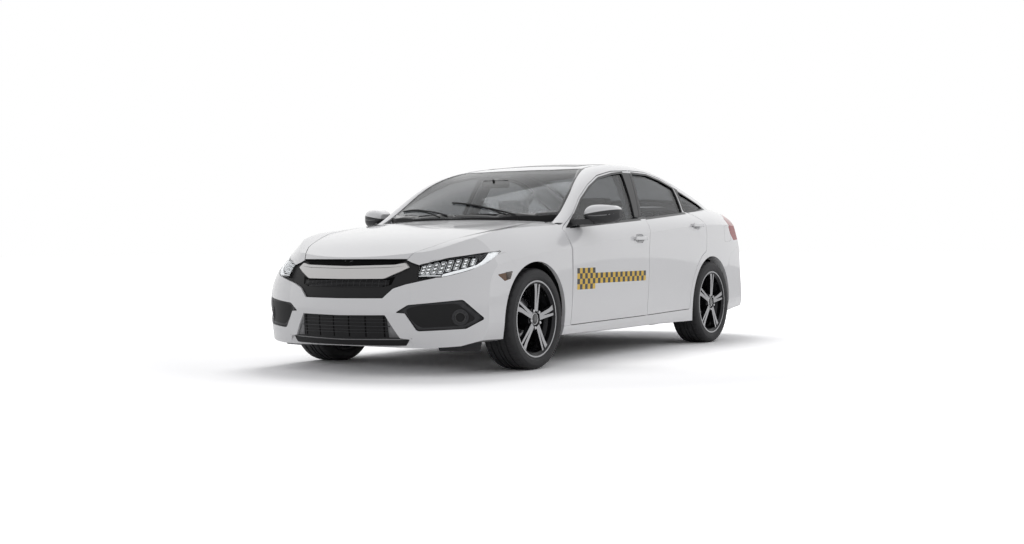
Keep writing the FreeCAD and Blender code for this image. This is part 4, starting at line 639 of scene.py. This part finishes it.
def grilles():
    """The slot under the bonnet's edge and the recess behind the mesh as black sheets of painted shade, the mesh under
    the bar, and the lower grille's bars with painted shade in its gaps.
    """
    grille, low = ("grille",), ("lower_grille",)
    slot_edge = symmetric([(0.0, 0.7125), (0.372, 0.7105), (0.398, 0.706), (0.34, 0.684), (0.0, 0.677)])
    # black sheet of painted shade inside the slot under the bonnet's edge
    fitted("bonnet_slot_painted_shade", PAINTED_SHADE, [slot_edge], view_front, grille, -0.0012, 0.001, 0.05)
    sensor = rounded(box(-0.033, 0.709, 0.033, 0.68), 0.004)
    fitted("slot_sensor", GREY, [sensor], view_front, grille, -0.001, 0.004, 0.02)
    # thin grey line painted as shade in the crease along the bar
    crease_shade = strip([(-0.402, 0.672), (-0.3, 0.664), (0.0, 0.659), (0.3, 0.664), (0.402, 0.672)], 0.0022, 0.2)
    fitted("bar_crease_painted_shade", GREY, [crease_shade], view_front, ("grille_bar",), -0.0004, 0.001, 0.03)
    mesh_edge = symmetric([(0.0, 0.591), (0.296, 0.593), (0.362, 0.61), (0.345, 0.56), (0.3, 0.548), (0.0, 0.545)])
    # black sheet of painted shade behind the mesh
    fitted("mesh_back_painted_shade", PAINTED_SHADE, [mesh_edge], view_front, grille, -0.0006, 0.001, 0.04)
    bars = []
    for v in (0.584, 0.576, 0.568, 0.56, 0.552):
        reach = 0.33 if v > 0.556 else 0.29
        bars.append(sheet_over([strip([(-reach, v), (0.0, v - 0.002), (reach, v)], 0.0035)], view_front, grille,
                               -0.0035, 0.003, 0.04))
    for i in range(-7, 8):
        u = i * 0.044
        bars.append(sheet_over([strip([(u, 0.548), (u, 0.59)], 0.0025)], view_front, grille, -0.0028, 0.002, 0.04))
    piece("grille_mesh", *joined(bars), GREY)
    # black strips of painted shade in the gaps between the lower grille's cells
    gap_shades = [sheet_over([strip([(u, 0.242), (u, 0.366)], 0.009)], view_front, low, -0.0008, 0.001, 0.04)
                for u in (-0.305, -0.18, -0.06, 0.06, 0.18, 0.305)]
    piece("lower_grille_gaps_painted_shade", *joined(gap_shades), PAINTED_SHADE)
    rails = [sheet_over([strip([(-0.345, 0.307), (0.345, 0.307)], 0.005)], view_front, low, -0.004, 0.004, 0.04)]
    rails += [sheet_over([strip([(-0.36, v), (0.36, v)], 0.003)], view_front, low, -0.0018, 0.002, 0.04)
              for v in (0.268, 0.285, 0.33, 0.35)]
    piece("lower_grille_rails", *joined(rails), GREY)
    for side, sign in SIDES:
        end = [(0.327 * sign, 0.369), (0.352 * sign, 0.372), (0.412 * sign, 0.24), (0.335 * sign, 0.24)]
        fitted(f"lower_grille_end_{side}", SATIN, [end], view_front, low, -0.003, 0.004, 0.03)
    lip = strip([(-0.48, 0.234), (-0.41, 0.229), (0.0, 0.222), (0.41, 0.229), (0.48, 0.234)], 0.006)
    fitted("lip_line", SATIN, [lip], view_front, ("lower_grille", "bumper_front"), -0.0012, 0.003, 0.04)


def side_markers():
    """The rear part of each marker lamp is its dark housing."""
    dark = [(-1.762, 0.628), (-1.692, 0.633), (-1.719, 0.588), (-1.76, 0.583)]
    fitted_pair("marker_housing", BROWN, [dark], view_side, ("side_markers",), -0.0008, 0.002, 0.02, slot="amber_lamp")


def flaps():
    """Air deflectors hung under the bumper ahead of the front wheels."""
    profile = [(0.5, -1.995, 0.205), (0.79, -1.925, 0.205), (0.775, -1.915, 0.145), (0.515, -1.98, 0.145)]
    front = [Vector(p) for p in profile]
    back = [p + Vector((0, 0.006, 0)) for p in front]
    faces = [(0, 1, 2, 3), (7, 6, 5, 4), (0, 4, 5, 1), (1, 5, 6, 2), (2, 6, 7, 3), (3, 7, 4, 0)]
    on_both_sides("air_flap", front + back, faces, GREY, smooth=False)


# ---- body trim


def glass_borders():
    """Black ceramic borders printed inside the windscreen and rear window."""
    for name, outer, inner in (
        ("windscreen",
         [(0.0, -1.076), (0.345, -1.04), (0.588, -0.93), (0.694, -0.815), (0.65, -0.56), (0.6, -0.395),
          (0.5, -0.15), (0.3, -0.228), (0.0, -0.256)],
         [(0.0, -1.04), (0.335, -1.005), (0.575, -0.9), (0.676, -0.797), (0.635, -0.56), (0.584, -0.395),
          (0.489, -0.176), (0.3, -0.243), (0.0, -0.271)]),
        ("rear_window",
         [(0.0, 0.988), (0.3, 0.972), (0.48, 0.93), (0.54, 1.2), (0.575, 1.5), (0.56, 1.648),
          (0.35, 1.696), (0.0, 1.71)],
         [(0.0, 1.018), (0.29, 1.002), (0.45, 0.968), (0.505, 1.21), (0.54, 1.5), (0.525, 1.6),
          (0.34, 1.65), (0.0, 1.664)]),
    ):
        fitted(f"{name}_border", GLOSS_DARK, [symmetric(outer), symmetric(inner)], view_top, (name,), -0.0008, 0.0006,
               0.04, slot="tinted_glass")


def wipers():
    arms = []
    for u0, v0, u1, v1 in ((0.5, -1.0, -0.12, -0.905), (-0.06, -1.058, -0.6, -0.835)):
        arm = strip([(u0, v0), ((u0 + u1) / 2, (v0 + v1) / 2 - 0.012), (u1, v1)], 0.009)
        arms.append(sheet_over([arm], view_top, ("windscreen", "cowl_panel"), -0.013, 0.006, 0.04))
        blade = strip([(u0 - 0.1 * (1 if u0 > 0 else 0.6), v0 - 0.004), (u1, v1 + 0.006)], 0.005)
        arms.append(sheet_over([blade], view_top, ("windscreen",), -0.007, 0.006, 0.04))
    piece("wipers", *joined(arms), DARK)


def roof_strips():
    """Black strips in the ditches beside the roof panel, and the seal round the sunroof."""
    line = [(0.503, -0.13), (0.4945, 0.18), (0.4945, 0.83), (0.52, 1.0), (0.545, 1.2), (0.575, 1.4)]
    fitted_pair("roof_strip", DARK, [strip(line, 0.007, 0.6)], view_top, ("roof_panel", "body_side_left"), -0.0012,
                0.003, 0.05)
    seam, inner = box(-0.404, -0.042, 0.404, 0.434), box(-0.392, -0.03, 0.392, 0.422)
    fitted("sunroof_seal", DARK, [rounded(seam, 0.05), rounded(inner, 0.045)], view_top, ("sunroof", "roof_panel"),
           -0.0012, 0.002, 0.06)


def fuel_flap():
    """Seam of the filler flap on the left rear wing."""
    corners = rounded([(1.565, 0.8), (1.715, 0.812), (1.7, 0.945), (1.56, 0.935)], 0.03)
    inner = scaled(corners, (1.635, 0.872), 0.984)
    fitted("fuel_flap_seam", SEAM, [corners, inner], view_side, ("body_side_left",), -0.0003, 0.001, 0.04)


def rear_plate():
    """Blank number plate on the boot lid."""
    outline = rounded(box(-0.16, 0.752, 0.16, 0.842), 0.012)
    fitted("rear_plate", PLATE, [outline], view_rear, ("trunk_lid", "bumper_rear"), -0.006, 0.003, 0.05,
           body="boot_lid")


def tail_details():
    """Light guides in the tail lamps, reversing lamps, reflectors and the dark valance."""
    guide = strip([(0.592, 0.872), (0.69, 0.905), (0.712, 0.965), (0.69, 1.03)], 0.014)
    fitted_pair("tail_lamp_guide", RED_DARK, [guide], view_rear, ("tail_lamps",), -0.0006, 0.003, 0.02,
                slot="red_lamp")
    clear = rounded(box(0.405, 0.905, 0.548, 0.888), 0.006)
    fitted_pair("reverse_lamp", PALE_LENS, [clear], view_rear, ("trunk_lamps",), -0.0006, 0.002, 0.03,
                body="boot_lid", slot="red_lamp")
    reflector = rounded([(0.57, 0.42), (0.72, 0.432), (0.716, 0.452), (0.57, 0.44)], 0.008)
    fitted_pair("rear_reflector", RED, [reflector], view_rear, ("bumper_rear",), -0.001, 0.004, 0.03, slot="red_lamp")
    lower = symmetric([(0.0, 0.35), (0.5, 0.343), (0.58, 0.305), (0.5, 0.272), (0.0, 0.262)])
    fitted("rear_valance", DARK, [lower], view_rear, ("bumper_rear",), -0.002, 0.004, 0.05)


# ---- livery

SIDE_VIEW = {"left": view_side, "right": view_right}
CHECK = 0.036  # side of one check
LIVERY_START = (-0.905, 0.492)  # front lower corner of the check block: y and height
LIVERY_BLOCK = 7  # columns of the tall block at the front end
LIVERY_COLUMNS = 28


def livery():
    """A block and a band of checks on each front door, in place of a sign."""
    start_y, start_z = LIVERY_START
    for side, _ in SIDES:
        black, yellow = [], []
        for column in range(LIVERY_COLUMNS):
            for row in range(4) if column < LIVERY_BLOCK else (1, 2):
                u, v = start_y + column * CHECK, start_z + row * CHECK
                tile = box(u, v, u + CHECK, v + CHECK)
                shape = sheet_over([tile], SIDE_VIEW[side], (f"door_front_{side}",), -0.0006, 0.0006, 0.05)
                (black if (column + row) % 2 else yellow).append(shape)
        body = f"front_door_{side}"
        piece(f"livery_black_{side}", *joined(black), BLACK, body, "white_paint", smooth=False)
        piece(f"livery_yellow_{side}", *joined(yellow), YELLOW, body, "white_paint", smooth=False)


# ---- wheels

AXLE = {"front": FRONT_AXLE, "rear": REAR_AXLE}
WHEEL_MIDDLE = {row: Vector((TRACK[row] / 2, AXLE[row], AXLE_HEIGHT)) for row in ROWS}
SPOKE_PHASE = 9  # degrees from straight up
NUT_CIRCLE = 0.05715  # radius
TYRE_STEPS = 216
# (x, radius) round the tyre from the inner bead over the tread to the outer bead and back inside.
TYRE_SECTION = [
    (-0.0986, 0.2285), (-0.0996, 0.2466), (-0.104, 0.2478), (-0.106, 0.25), (-0.112, 0.257), (-0.1158, 0.266),
    (-0.1172, 0.28), (-0.116, 0.294), (-0.111, 0.306), (-0.104, 0.314), (-0.096, 0.3195), (-0.086, 0.322),
    (-0.062, 0.3228), (-0.06, 0.315), (-0.051, 0.315), (-0.049, 0.323), (-0.02, 0.323), (-0.018, 0.315),
    (-0.009, 0.315), (-0.007, 0.323), (0.007, 0.323), (0.009, 0.315), (0.018, 0.315), (0.02, 0.323),
    (0.049, 0.323), (0.051, 0.315), (0.06, 0.315), (0.062, 0.3228), (0.086, 0.322), (0.096, 0.3195),
    (0.104, 0.314), (0.111, 0.306), (0.115, 0.296), (0.1166, 0.2945), (0.1164, 0.29), (0.1172, 0.28),
    (0.1158, 0.266), (0.115, 0.262), (0.112, 0.257), (0.106, 0.25), (0.1062, 0.248), (0.0996, 0.2466),
    (0.0986, 0.2285), (0.076, 0.2285), (0.082, 0.244), (0.1, 0.27), (0.096, 0.298), (0.084, 0.309),
    (-0.084, 0.309), (-0.096, 0.298), (-0.1, 0.27), (-0.082, 0.244), (-0.076, 0.2285),
]


def tread(i, j, x, r):
    """Cross grooves cut into the shoulders every few degrees."""
    if r > 0.3185 and abs(x) > 0.058 and i % 6 == 0:
        return x, r - 0.0045
    if 0.3225 < r and abs(x) < 0.058 and i % 9 == 0:
        return x, r - 0.002
    return x, r


def tyres():
    for row in ROWS:
        middle = WHEEL_MIDDLE[row]
        points, faces = turned(TYRE_SECTION, middle, TYRE_STEPS, tread)
        faces = [tuple(reversed(f)) for f in faces]
        made = on_both_sides(f"road_tyre_{row}", points, faces, RUBBER, f"{row}_wheel_{{side}}", "tyre_rubber")
        for one, (side, _) in zip(made, SIDES):
            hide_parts(f"tyre_{row}_{side}")
            sharpen(one, 40)


def sharpen(one, degrees):
    """Smooth shading that keeps edges sharper than this."""
    limit = math.radians(degrees)
    bm = bmesh.new()
    bm.from_mesh(one.data)
    for edge in bm.edges:
        if len(edge.link_faces) == 2:
            edge.smooth = edge.calc_face_angle(0) < limit
    bm.to_mesh(one.data)
    bm.free()


def wheel_details():
    """Hub cap, wheel nuts, valve, and a brake disc with its hat, as the spokes show them."""
    for row in ROWS:
        middle = WHEEL_MIDDLE[row]
        cap = [(0.088, 0.0), (0.088, 0.034), (0.0925, 0.034), (0.0945, 0.031), (0.0955, 0.022), (0.0965, 0.0)]
        ring = [(0.08, 0.0345), (0.0935, 0.0345), (0.0945, 0.036), (0.0935, 0.0385), (0.08, 0.0385)]
        nuts = []
        for k in range(5):
            angle = math.radians(SPOKE_PHASE + 36 + 72 * k)
            at = middle + Vector((0, NUT_CIRCLE * math.sin(angle), NUT_CIRCLE * math.cos(angle)))
            for near, far, radius, sides in ((0.084, 0.102, 0.0105, 6), (0.102, 0.105, 0.0075, 12)):
                nuts.append(rod_between(at + Vector((near, 0, 0)), at + Vector((far, 0, 0)), radius, sides))
        angle = math.radians(SPOKE_PHASE + 36)
        way = Vector((0, math.sin(angle), math.cos(angle)))
        at = middle + way * 0.214
        stem = rod_between(at + Vector((0.058, 0, 0)), at + Vector((0.088, 0, 0)) - way * 0.012, 0.004, 10)
        disc = [(-0.0225, 0.082), (-0.0205, 0.082), (-0.0205, 0.138), (-0.0225, 0.138)]
        hat = [(-0.021, 0.06), (-0.01, 0.06), (-0.01, 0.078), (-0.021, 0.08)]
        for name, shape, look in (
            ("hub_cap", turned(cap, middle, 40), GLOSS_DARK), ("hub_ring", turned(ring, middle, 40), BRIGHT),
            ("wheel_nuts", joined(nuts), BRIGHT), ("valve", stem, DARK),
            ("brake_disc", turned(disc, middle, 72), BRUSHED), ("brake_hat", turned(hat, middle, 48), STEEL),
        ):
            on_both_sides(f"{name}_{row}", *shape, look, f"{row}_wheel_{{side}}", "alloy", name != "wheel_nuts")


# ---- mirrors and handles


def mirrors():
    """White caps, the dark arm, an indicator strip and the glass."""
    for side, sign in SIDES:
        below = within([[(sign * CAP[0], 0, -1, -CAP[1])]])
        shell = repainted(PAINT, f"mirror_shell_{side}", below, (0.03, 0.03, 0.032), 0.4)
        NODES[f"mirror_{side}"].data.materials[0] = shell
    node = ("mirror_left",)
    strip_line = [(0.905, 0.9875), (0.96, 0.986), (1.02, 0.9905), (1.058, 0.999)]
    fitted_pair("mirror_indicator", SATIN, [strip(strip_line, 0.006, 0.5)], view_front, node, -0.0008, 0.004, 0.02,
                body="front_door_{side}")
    glass = rounded([(0.9, 0.948), (1.035, 0.95), (1.058, 0.975), (1.056, 1.03), (1.02, 1.05), (0.905, 1.05)],
                    0.025)
    fitted_pair("mirror_glass", MIRROR, [glass], view_rear, node, -0.0016, 0.002, 0.03, body="front_door_{side}")
    rim = scaled(glass, (0.98, 0.999), 1.05)
    fitted_pair("mirror_rim", DARK, [rim, glass], view_rear, node, -0.003, 0.004, 0.03, body="front_door_{side}")


HANDLES = {"front": (MID + 0.085, 0.834), "rear": (REAR_AXLE - 0.28, 0.936)}


def handles():
    """A dark line painted as shadow under each pull handle, and the lock cover at its rear end."""
    for row, (y, z) in HANDLES.items():
        tip = rounded(box(y + 0.064, z - 0.012, y + 0.094, z + 0.012), 0.006)
        fitted_pair(f"handle_cover_{row}", PAINT, [tip], view_side, (f"door_{row}_left",), -0.0006, 0.001, 0.02,
                    body=f"{row}_door_{{side}}", slot="white_paint")
        # dark line painted as the shadow under the handle
        line = strip([(y - 0.088, z - 0.0135), (y + 0.06, z - 0.0135)], 0.002)
        fitted_pair(f"handle_seam_{row}", SEAM, [line], view_side, (f"door_{row}_left",), -0.0004, 0.001, 0.05,
                    body=f"{row}_door_{{side}}", slot="white_paint")


# ---- cabin

SEAT_X = 0.365


def pillow(name, low, high, crown, look, tilt=0.0, pivot=None):
    """Padded form between two corners, with a crowned top; tilt turns it about x through pivot."""
    low, high = Vector(low), Vector(high)
    size, centre = high - low, (high + low) / 2
    bm = bmesh.new()
    bmesh.ops.create_cube(bm, size=1)
    bmesh.ops.subdivide_edges(bm, edges=bm.edges, cuts=7, use_grid_fill=True)
    for v in bm.verts:
        x, y, z = (c * 2 for c in v.co)
        edge = [max(0.0, 1 - c * c) for c in (x, y, z)]
        soft = Vector((x, y, z))
        length = max(abs(x), abs(y), abs(z))
        ball = soft.normalized() * length
        soft = soft.lerp(ball, 0.16)
        v.co = Vector((soft.x * size.x / 2, soft.y * size.y / 2, soft.z * size.z / 2)) * 0.97
        v.co.z += crown * edge[0] * edge[1] * (1 if z > 0 else -0.2) * abs(z)
    if tilt:
        around = Vector(pivot) - centre if pivot else Vector((0, 0, 0))
        turn = Matrix.Translation(around) @ Matrix.Rotation(tilt, 4, "X") @ Matrix.Translation(-around)
        bmesh.ops.transform(bm, matrix=turn, verts=bm.verts)
    bmesh.ops.translate(bm, vec=centre, verts=bm.verts)
    made = piece(name, *taken(bm), look, slot="seat_cloth")
    inflate(made)
    return made


def inflate(one):
    """Blows the form up a little as cloth, and keeps the result."""
    cloth = one.modifiers.new("cloth", "CLOTH")
    settings = cloth.settings
    settings.use_pressure = True
    settings.uniform_pressure_force = 4
    settings.effector_weights.gravity = 0
    settings.tension_stiffness = 40
    settings.compression_stiffness = 40
    settings.shear_stiffness = 20
    scene = bpy.context.scene
    rest = [v.co.copy() for v in one.data.vertices]
    for number in range(1, 13):
        scene.frame_set(number)
    depsgraph = bpy.context.evaluated_depsgraph_get()
    result = one.evaluated_get(depsgraph)
    moved = [v.co.copy() for v in result.data.vertices]
    one.modifiers.remove(cloth)
    scene.frame_set(1)
    for vert, before, after in zip(one.data.vertices, rest, moved):
        step = after - before
        vert.co = before + step * min(1.0, 0.008 / max(step.length, 1e-6))


def seats():
    """Cushions, bolsters, backrests and head restraints, over the CAD seats they replace."""
    front, rear = [], []
    lean = math.radians(-16)
    for side, sign in SIDES:
        x = sign * SEAT_X
        foot = (x, 0.11, 0.43)
        front += [
            pillow(f"seat_cushion_{side}", (x - 0.175, -0.385, 0.3), (x + 0.175, 0.11, 0.44), 0.012, CLOTH),
            pillow(f"seat_back_{side}", (x - 0.17, 0.065, 0.4), (x + 0.17, 0.165, 0.945), 0.0, CLOTH, lean, foot),
            pillow(f"head_restraint_{side}", (x - 0.125, 0.25, 0.985), (x + 0.125, 0.345, 1.145), 0.0, CLOTH),
        ]
        for end, offset in (("in", -0.213), ("out", 0.213)):
            low, high = x + offset - 0.04, x + offset + 0.04
            front += [
                pillow(f"cushion_bolster_{end}_{side}", (low, -0.38, 0.29), (high, 0.1, 0.452), 0.006, TRIM),
                pillow(f"back_bolster_{end}_{side}", (low, 0.05, 0.41), (high, 0.16, 0.9), 0.0, TRIM, lean, foot),
            ]
        posts = [rod_between((x + k, 0.29, 0.93), (x + k, 0.297, 1.01), 0.006, 10) for k in (-0.055, 0.055)]
        base = [block((x + k, -0.3, 0.2125), (x + k + 0.04, 0.06, 0.3)) for k in (-0.2, 0.16)]
        piece(f"seat_posts_{side}", *joined(posts), BRUSHED, slot="seat_cloth")
        front.append(piece(f"seat_runners_{side}", *joined(base), STEEL, slot="seat_cloth"))
    for one in front:
        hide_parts("front_seats")
    bench, recline, half = REAR_AXLE - 0.745, math.radians(-6), 0.18
    for k, x in enumerate((-0.375, 0.0, 0.375)):
        rear += [
            pillow(f"bench_cushion_{k}", (x - half, bench, 0.3), (x + half, bench + 0.5, 0.425), 0.01, CLOTH),
            pillow(f"bench_back_{k}", (x - half, 1.05, 0.41), (x + half, 1.15, 0.905), 0.0, CLOTH, recline,
                   (x, 1.1, 0.41)),
            pillow(f"rear_restraint_{k}", (x - 0.105, 1.115, 0.9), (x + 0.105, 1.185, 1.05), 0.0, CLOTH),
        ]
    foot = block((-0.52, bench + 0.045, 0.2125), (0.52, bench + 0.245, 0.305))
    rear.append(piece("bench_base", *foot, TRIM, slot="seat_cloth"))
    for one in rear:
        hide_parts("rear_seat")


def cabin_trim():
    """Dashboard screen, vents, steering wheel boss and the interior mirror."""
    y = -0.946
    screen = block((-0.11, y + 0.33, 0.79), (0.11, y + 0.352, 0.925), 0.006)
    piece("dash_screen", *screen, GLOSS_DARK, "chassis", "dark_trim")
    vents = []
    for x in (-0.6, -0.22, 0.17, 0.56):
        for k in range(4):
            vents.append(block((x - 0.045, y + 0.345, 0.836 + 0.012 * k), (x + 0.045, y + 0.362, 0.841 + 0.012 * k),
                               0.001))
    piece("dash_vents", *joined(vents), SATIN, "chassis", "dark_trim")
    binnacle = block((SEAT_X - 0.16, y + 0.26, 0.905), (SEAT_X + 0.16, y + 0.37, 0.955), 0.015)
    piece("binnacle", *binnacle, TRIM, "chassis", "dark_trim")
    mirror_body = block((-0.115, -0.535, 1.205), (0.115, -0.505, 1.262), 0.01)
    piece("cabin_mirror", *mirror_body, TRIM, "chassis", "dark_trim")
    stem = rod_between((0, -0.53, 1.245), (0, -0.56, 1.262), 0.008)
    piece("cabin_mirror_stem", *stem, TRIM, "chassis", "dark_trim")
    hub = Vector((SEAT_X, y + 0.48, 0.8))
    way = Vector((0, -math.cos(math.radians(24)), -math.sin(math.radians(24))))
    boss = rod_between(hub - way * 0.034, hub - way * 0.02, 0.062, 28)
    piece("wheel_boss", *boss, TRIM, "hand_wheel", "dark_trim")


headlamps()
fog_lamps()
grilles()
side_markers()
flaps()
glass_borders()
wipers()
roof_strips()
fuel_flap()
rear_plate()
tail_details()
livery()
tyres()
wheel_details()
mirrors()
handles()
seats()
cabin_trim()

# ---- floor, lights and camera

CAMERA_AT = (5.4545, -8.9868, 0.8066)
CAMERA_YAW, CAMERA_PITCH, CAMERA_ROLL = 32.1587, 1.1887, -0.4827
CAMERA_LENS = 48.85


camera = bpy.data.objects.new("camera", bpy.data.cameras.new("camera"))
bpy.context.scene.collection.objects.link(camera)
yaw, pitch, roll = (math.radians(v) for v in (CAMERA_YAW, CAMERA_PITCH, CAMERA_ROLL))
back = Vector((math.sin(yaw) * math.cos(pitch), -math.cos(yaw) * math.cos(pitch), math.sin(pitch)))
side_way = Vector((math.cos(yaw), math.sin(yaw), 0))
up_way = back.cross(side_way)
right = math.cos(roll) * side_way + math.sin(roll) * up_way
up = -math.sin(roll) * side_way + math.cos(roll) * up_way
camera.matrix_world = Matrix.Translation(CAMERA_AT) @ Matrix((right, up, back)).transposed().to_4x4()
camera.data.lens = CAMERA_LENS
camera.data.sensor_width = 36
camera.data.clip_end = 300
bpy.context.scene.camera = camera

FLOOR_TONE = 0.9
FLOOR_TONE_SEEN = 1.3  # to the camera, so that the floor is white outside the car's shadow
# glow of the floor to the camera, by distance from the middle of the car
FLOOR_FADE = {"From Min": 2.6, "From Max": 5.0, "To Min": 0.0, "To Max": 1.0}
FLOOR_REACH = 80
floor_mesh = bpy.data.meshes.new("floor")
corners = [(x * FLOOR_REACH, y * FLOOR_REACH, 0) for x, y in ((-1, -1), (1, -1), (1, 1), (-1, 1))]
floor_mesh.from_pydata(corners, [], [(0, 1, 2, 3)])
floor = bpy.data.objects.new("floor", floor_mesh)
bpy.context.scene.collection.objects.link(floor)
ground = bpy.data.materials.new("floor")
ground.use_nodes = True
tree = ground.node_tree
tree.nodes.clear()
path = add_node(tree, "LightPath")
place = add_node(tree, "TexCoord")
seen = path.outputs["Is Camera Ray"]
tone = add_node(tree, "MapRange", {"Value": seen, "To Min": FLOOR_TONE, "To Max": FLOOR_TONE_SEEN})
diffuse = add_node(tree, "BsdfDiffuse", {"Color": tone.outputs["Result"]})
reach = add_node(tree, "VectorMath", {0: place.outputs["Object"]}, operation="LENGTH")
fade = add_node(tree, "MapRange", {"Value": reach.outputs["Value"], **FLOOR_FADE}, interpolation_type="SMOOTHSTEP")
strength = combine(tree, "MULTIPLY", seen, fade.outputs["Result"])
glow = add_node(tree, "Emission", {"Color": (1, 1, 1, 1), "Strength": strength})
both = add_node(tree, "AddShader", {0: diffuse.outputs[0], 1: glow.outputs[0]})
add_node(tree, "OutputMaterial", {"Surface": both.outputs[0]})
floor_mesh.materials.append(ground)

world = bpy.data.worlds.new("world")
bpy.context.scene.world = world
world.use_nodes = True
tree = world.node_tree
tree.nodes.clear()
path = add_node(tree, "LightPath")
sky = add_node(tree, "Background", {"Color": (0.52, 0.52, 0.53, 1)})
white = add_node(tree, "Background", {"Color": (1, 1, 1, 1)})
seen = None
for ray in ("Is Camera Ray", "Is Transmission Ray", "Is Glossy Ray"):
    seen = combine(tree, "MAXIMUM", seen, path.outputs[ray])
mix = add_node(tree, "MixShader", {0: seen, 1: sky.outputs[0], 2: white.outputs[0]})
add_node(tree, "OutputWorld", {"Surface": mix.outputs[0]})


def lamp(name, at, towards, size, power):
    light = bpy.data.lights.new(name, "AREA")
    light.shape = "RECTANGLE"
    light.size, light.size_y = size
    light.energy = power
    made = bpy.data.objects.new(name, light)
    bpy.context.scene.collection.objects.link(made)
    made.visible_glossy = False
    made.location = at
    made.rotation_euler = (Vector(towards) - Vector(at)).to_track_quat("-Z", "Y").to_euler()


lamp("top_light", (-1.2, 1.8, 6.0), (0, 0, 0), (3.0, 2.5), 170)
lamp("side_light", (6.5, 1.5, 2.6), (0, 0, 0.6), (5.0, 2.5), 30)

bpy.context.scene.view_settings.view_transform = "Standard"
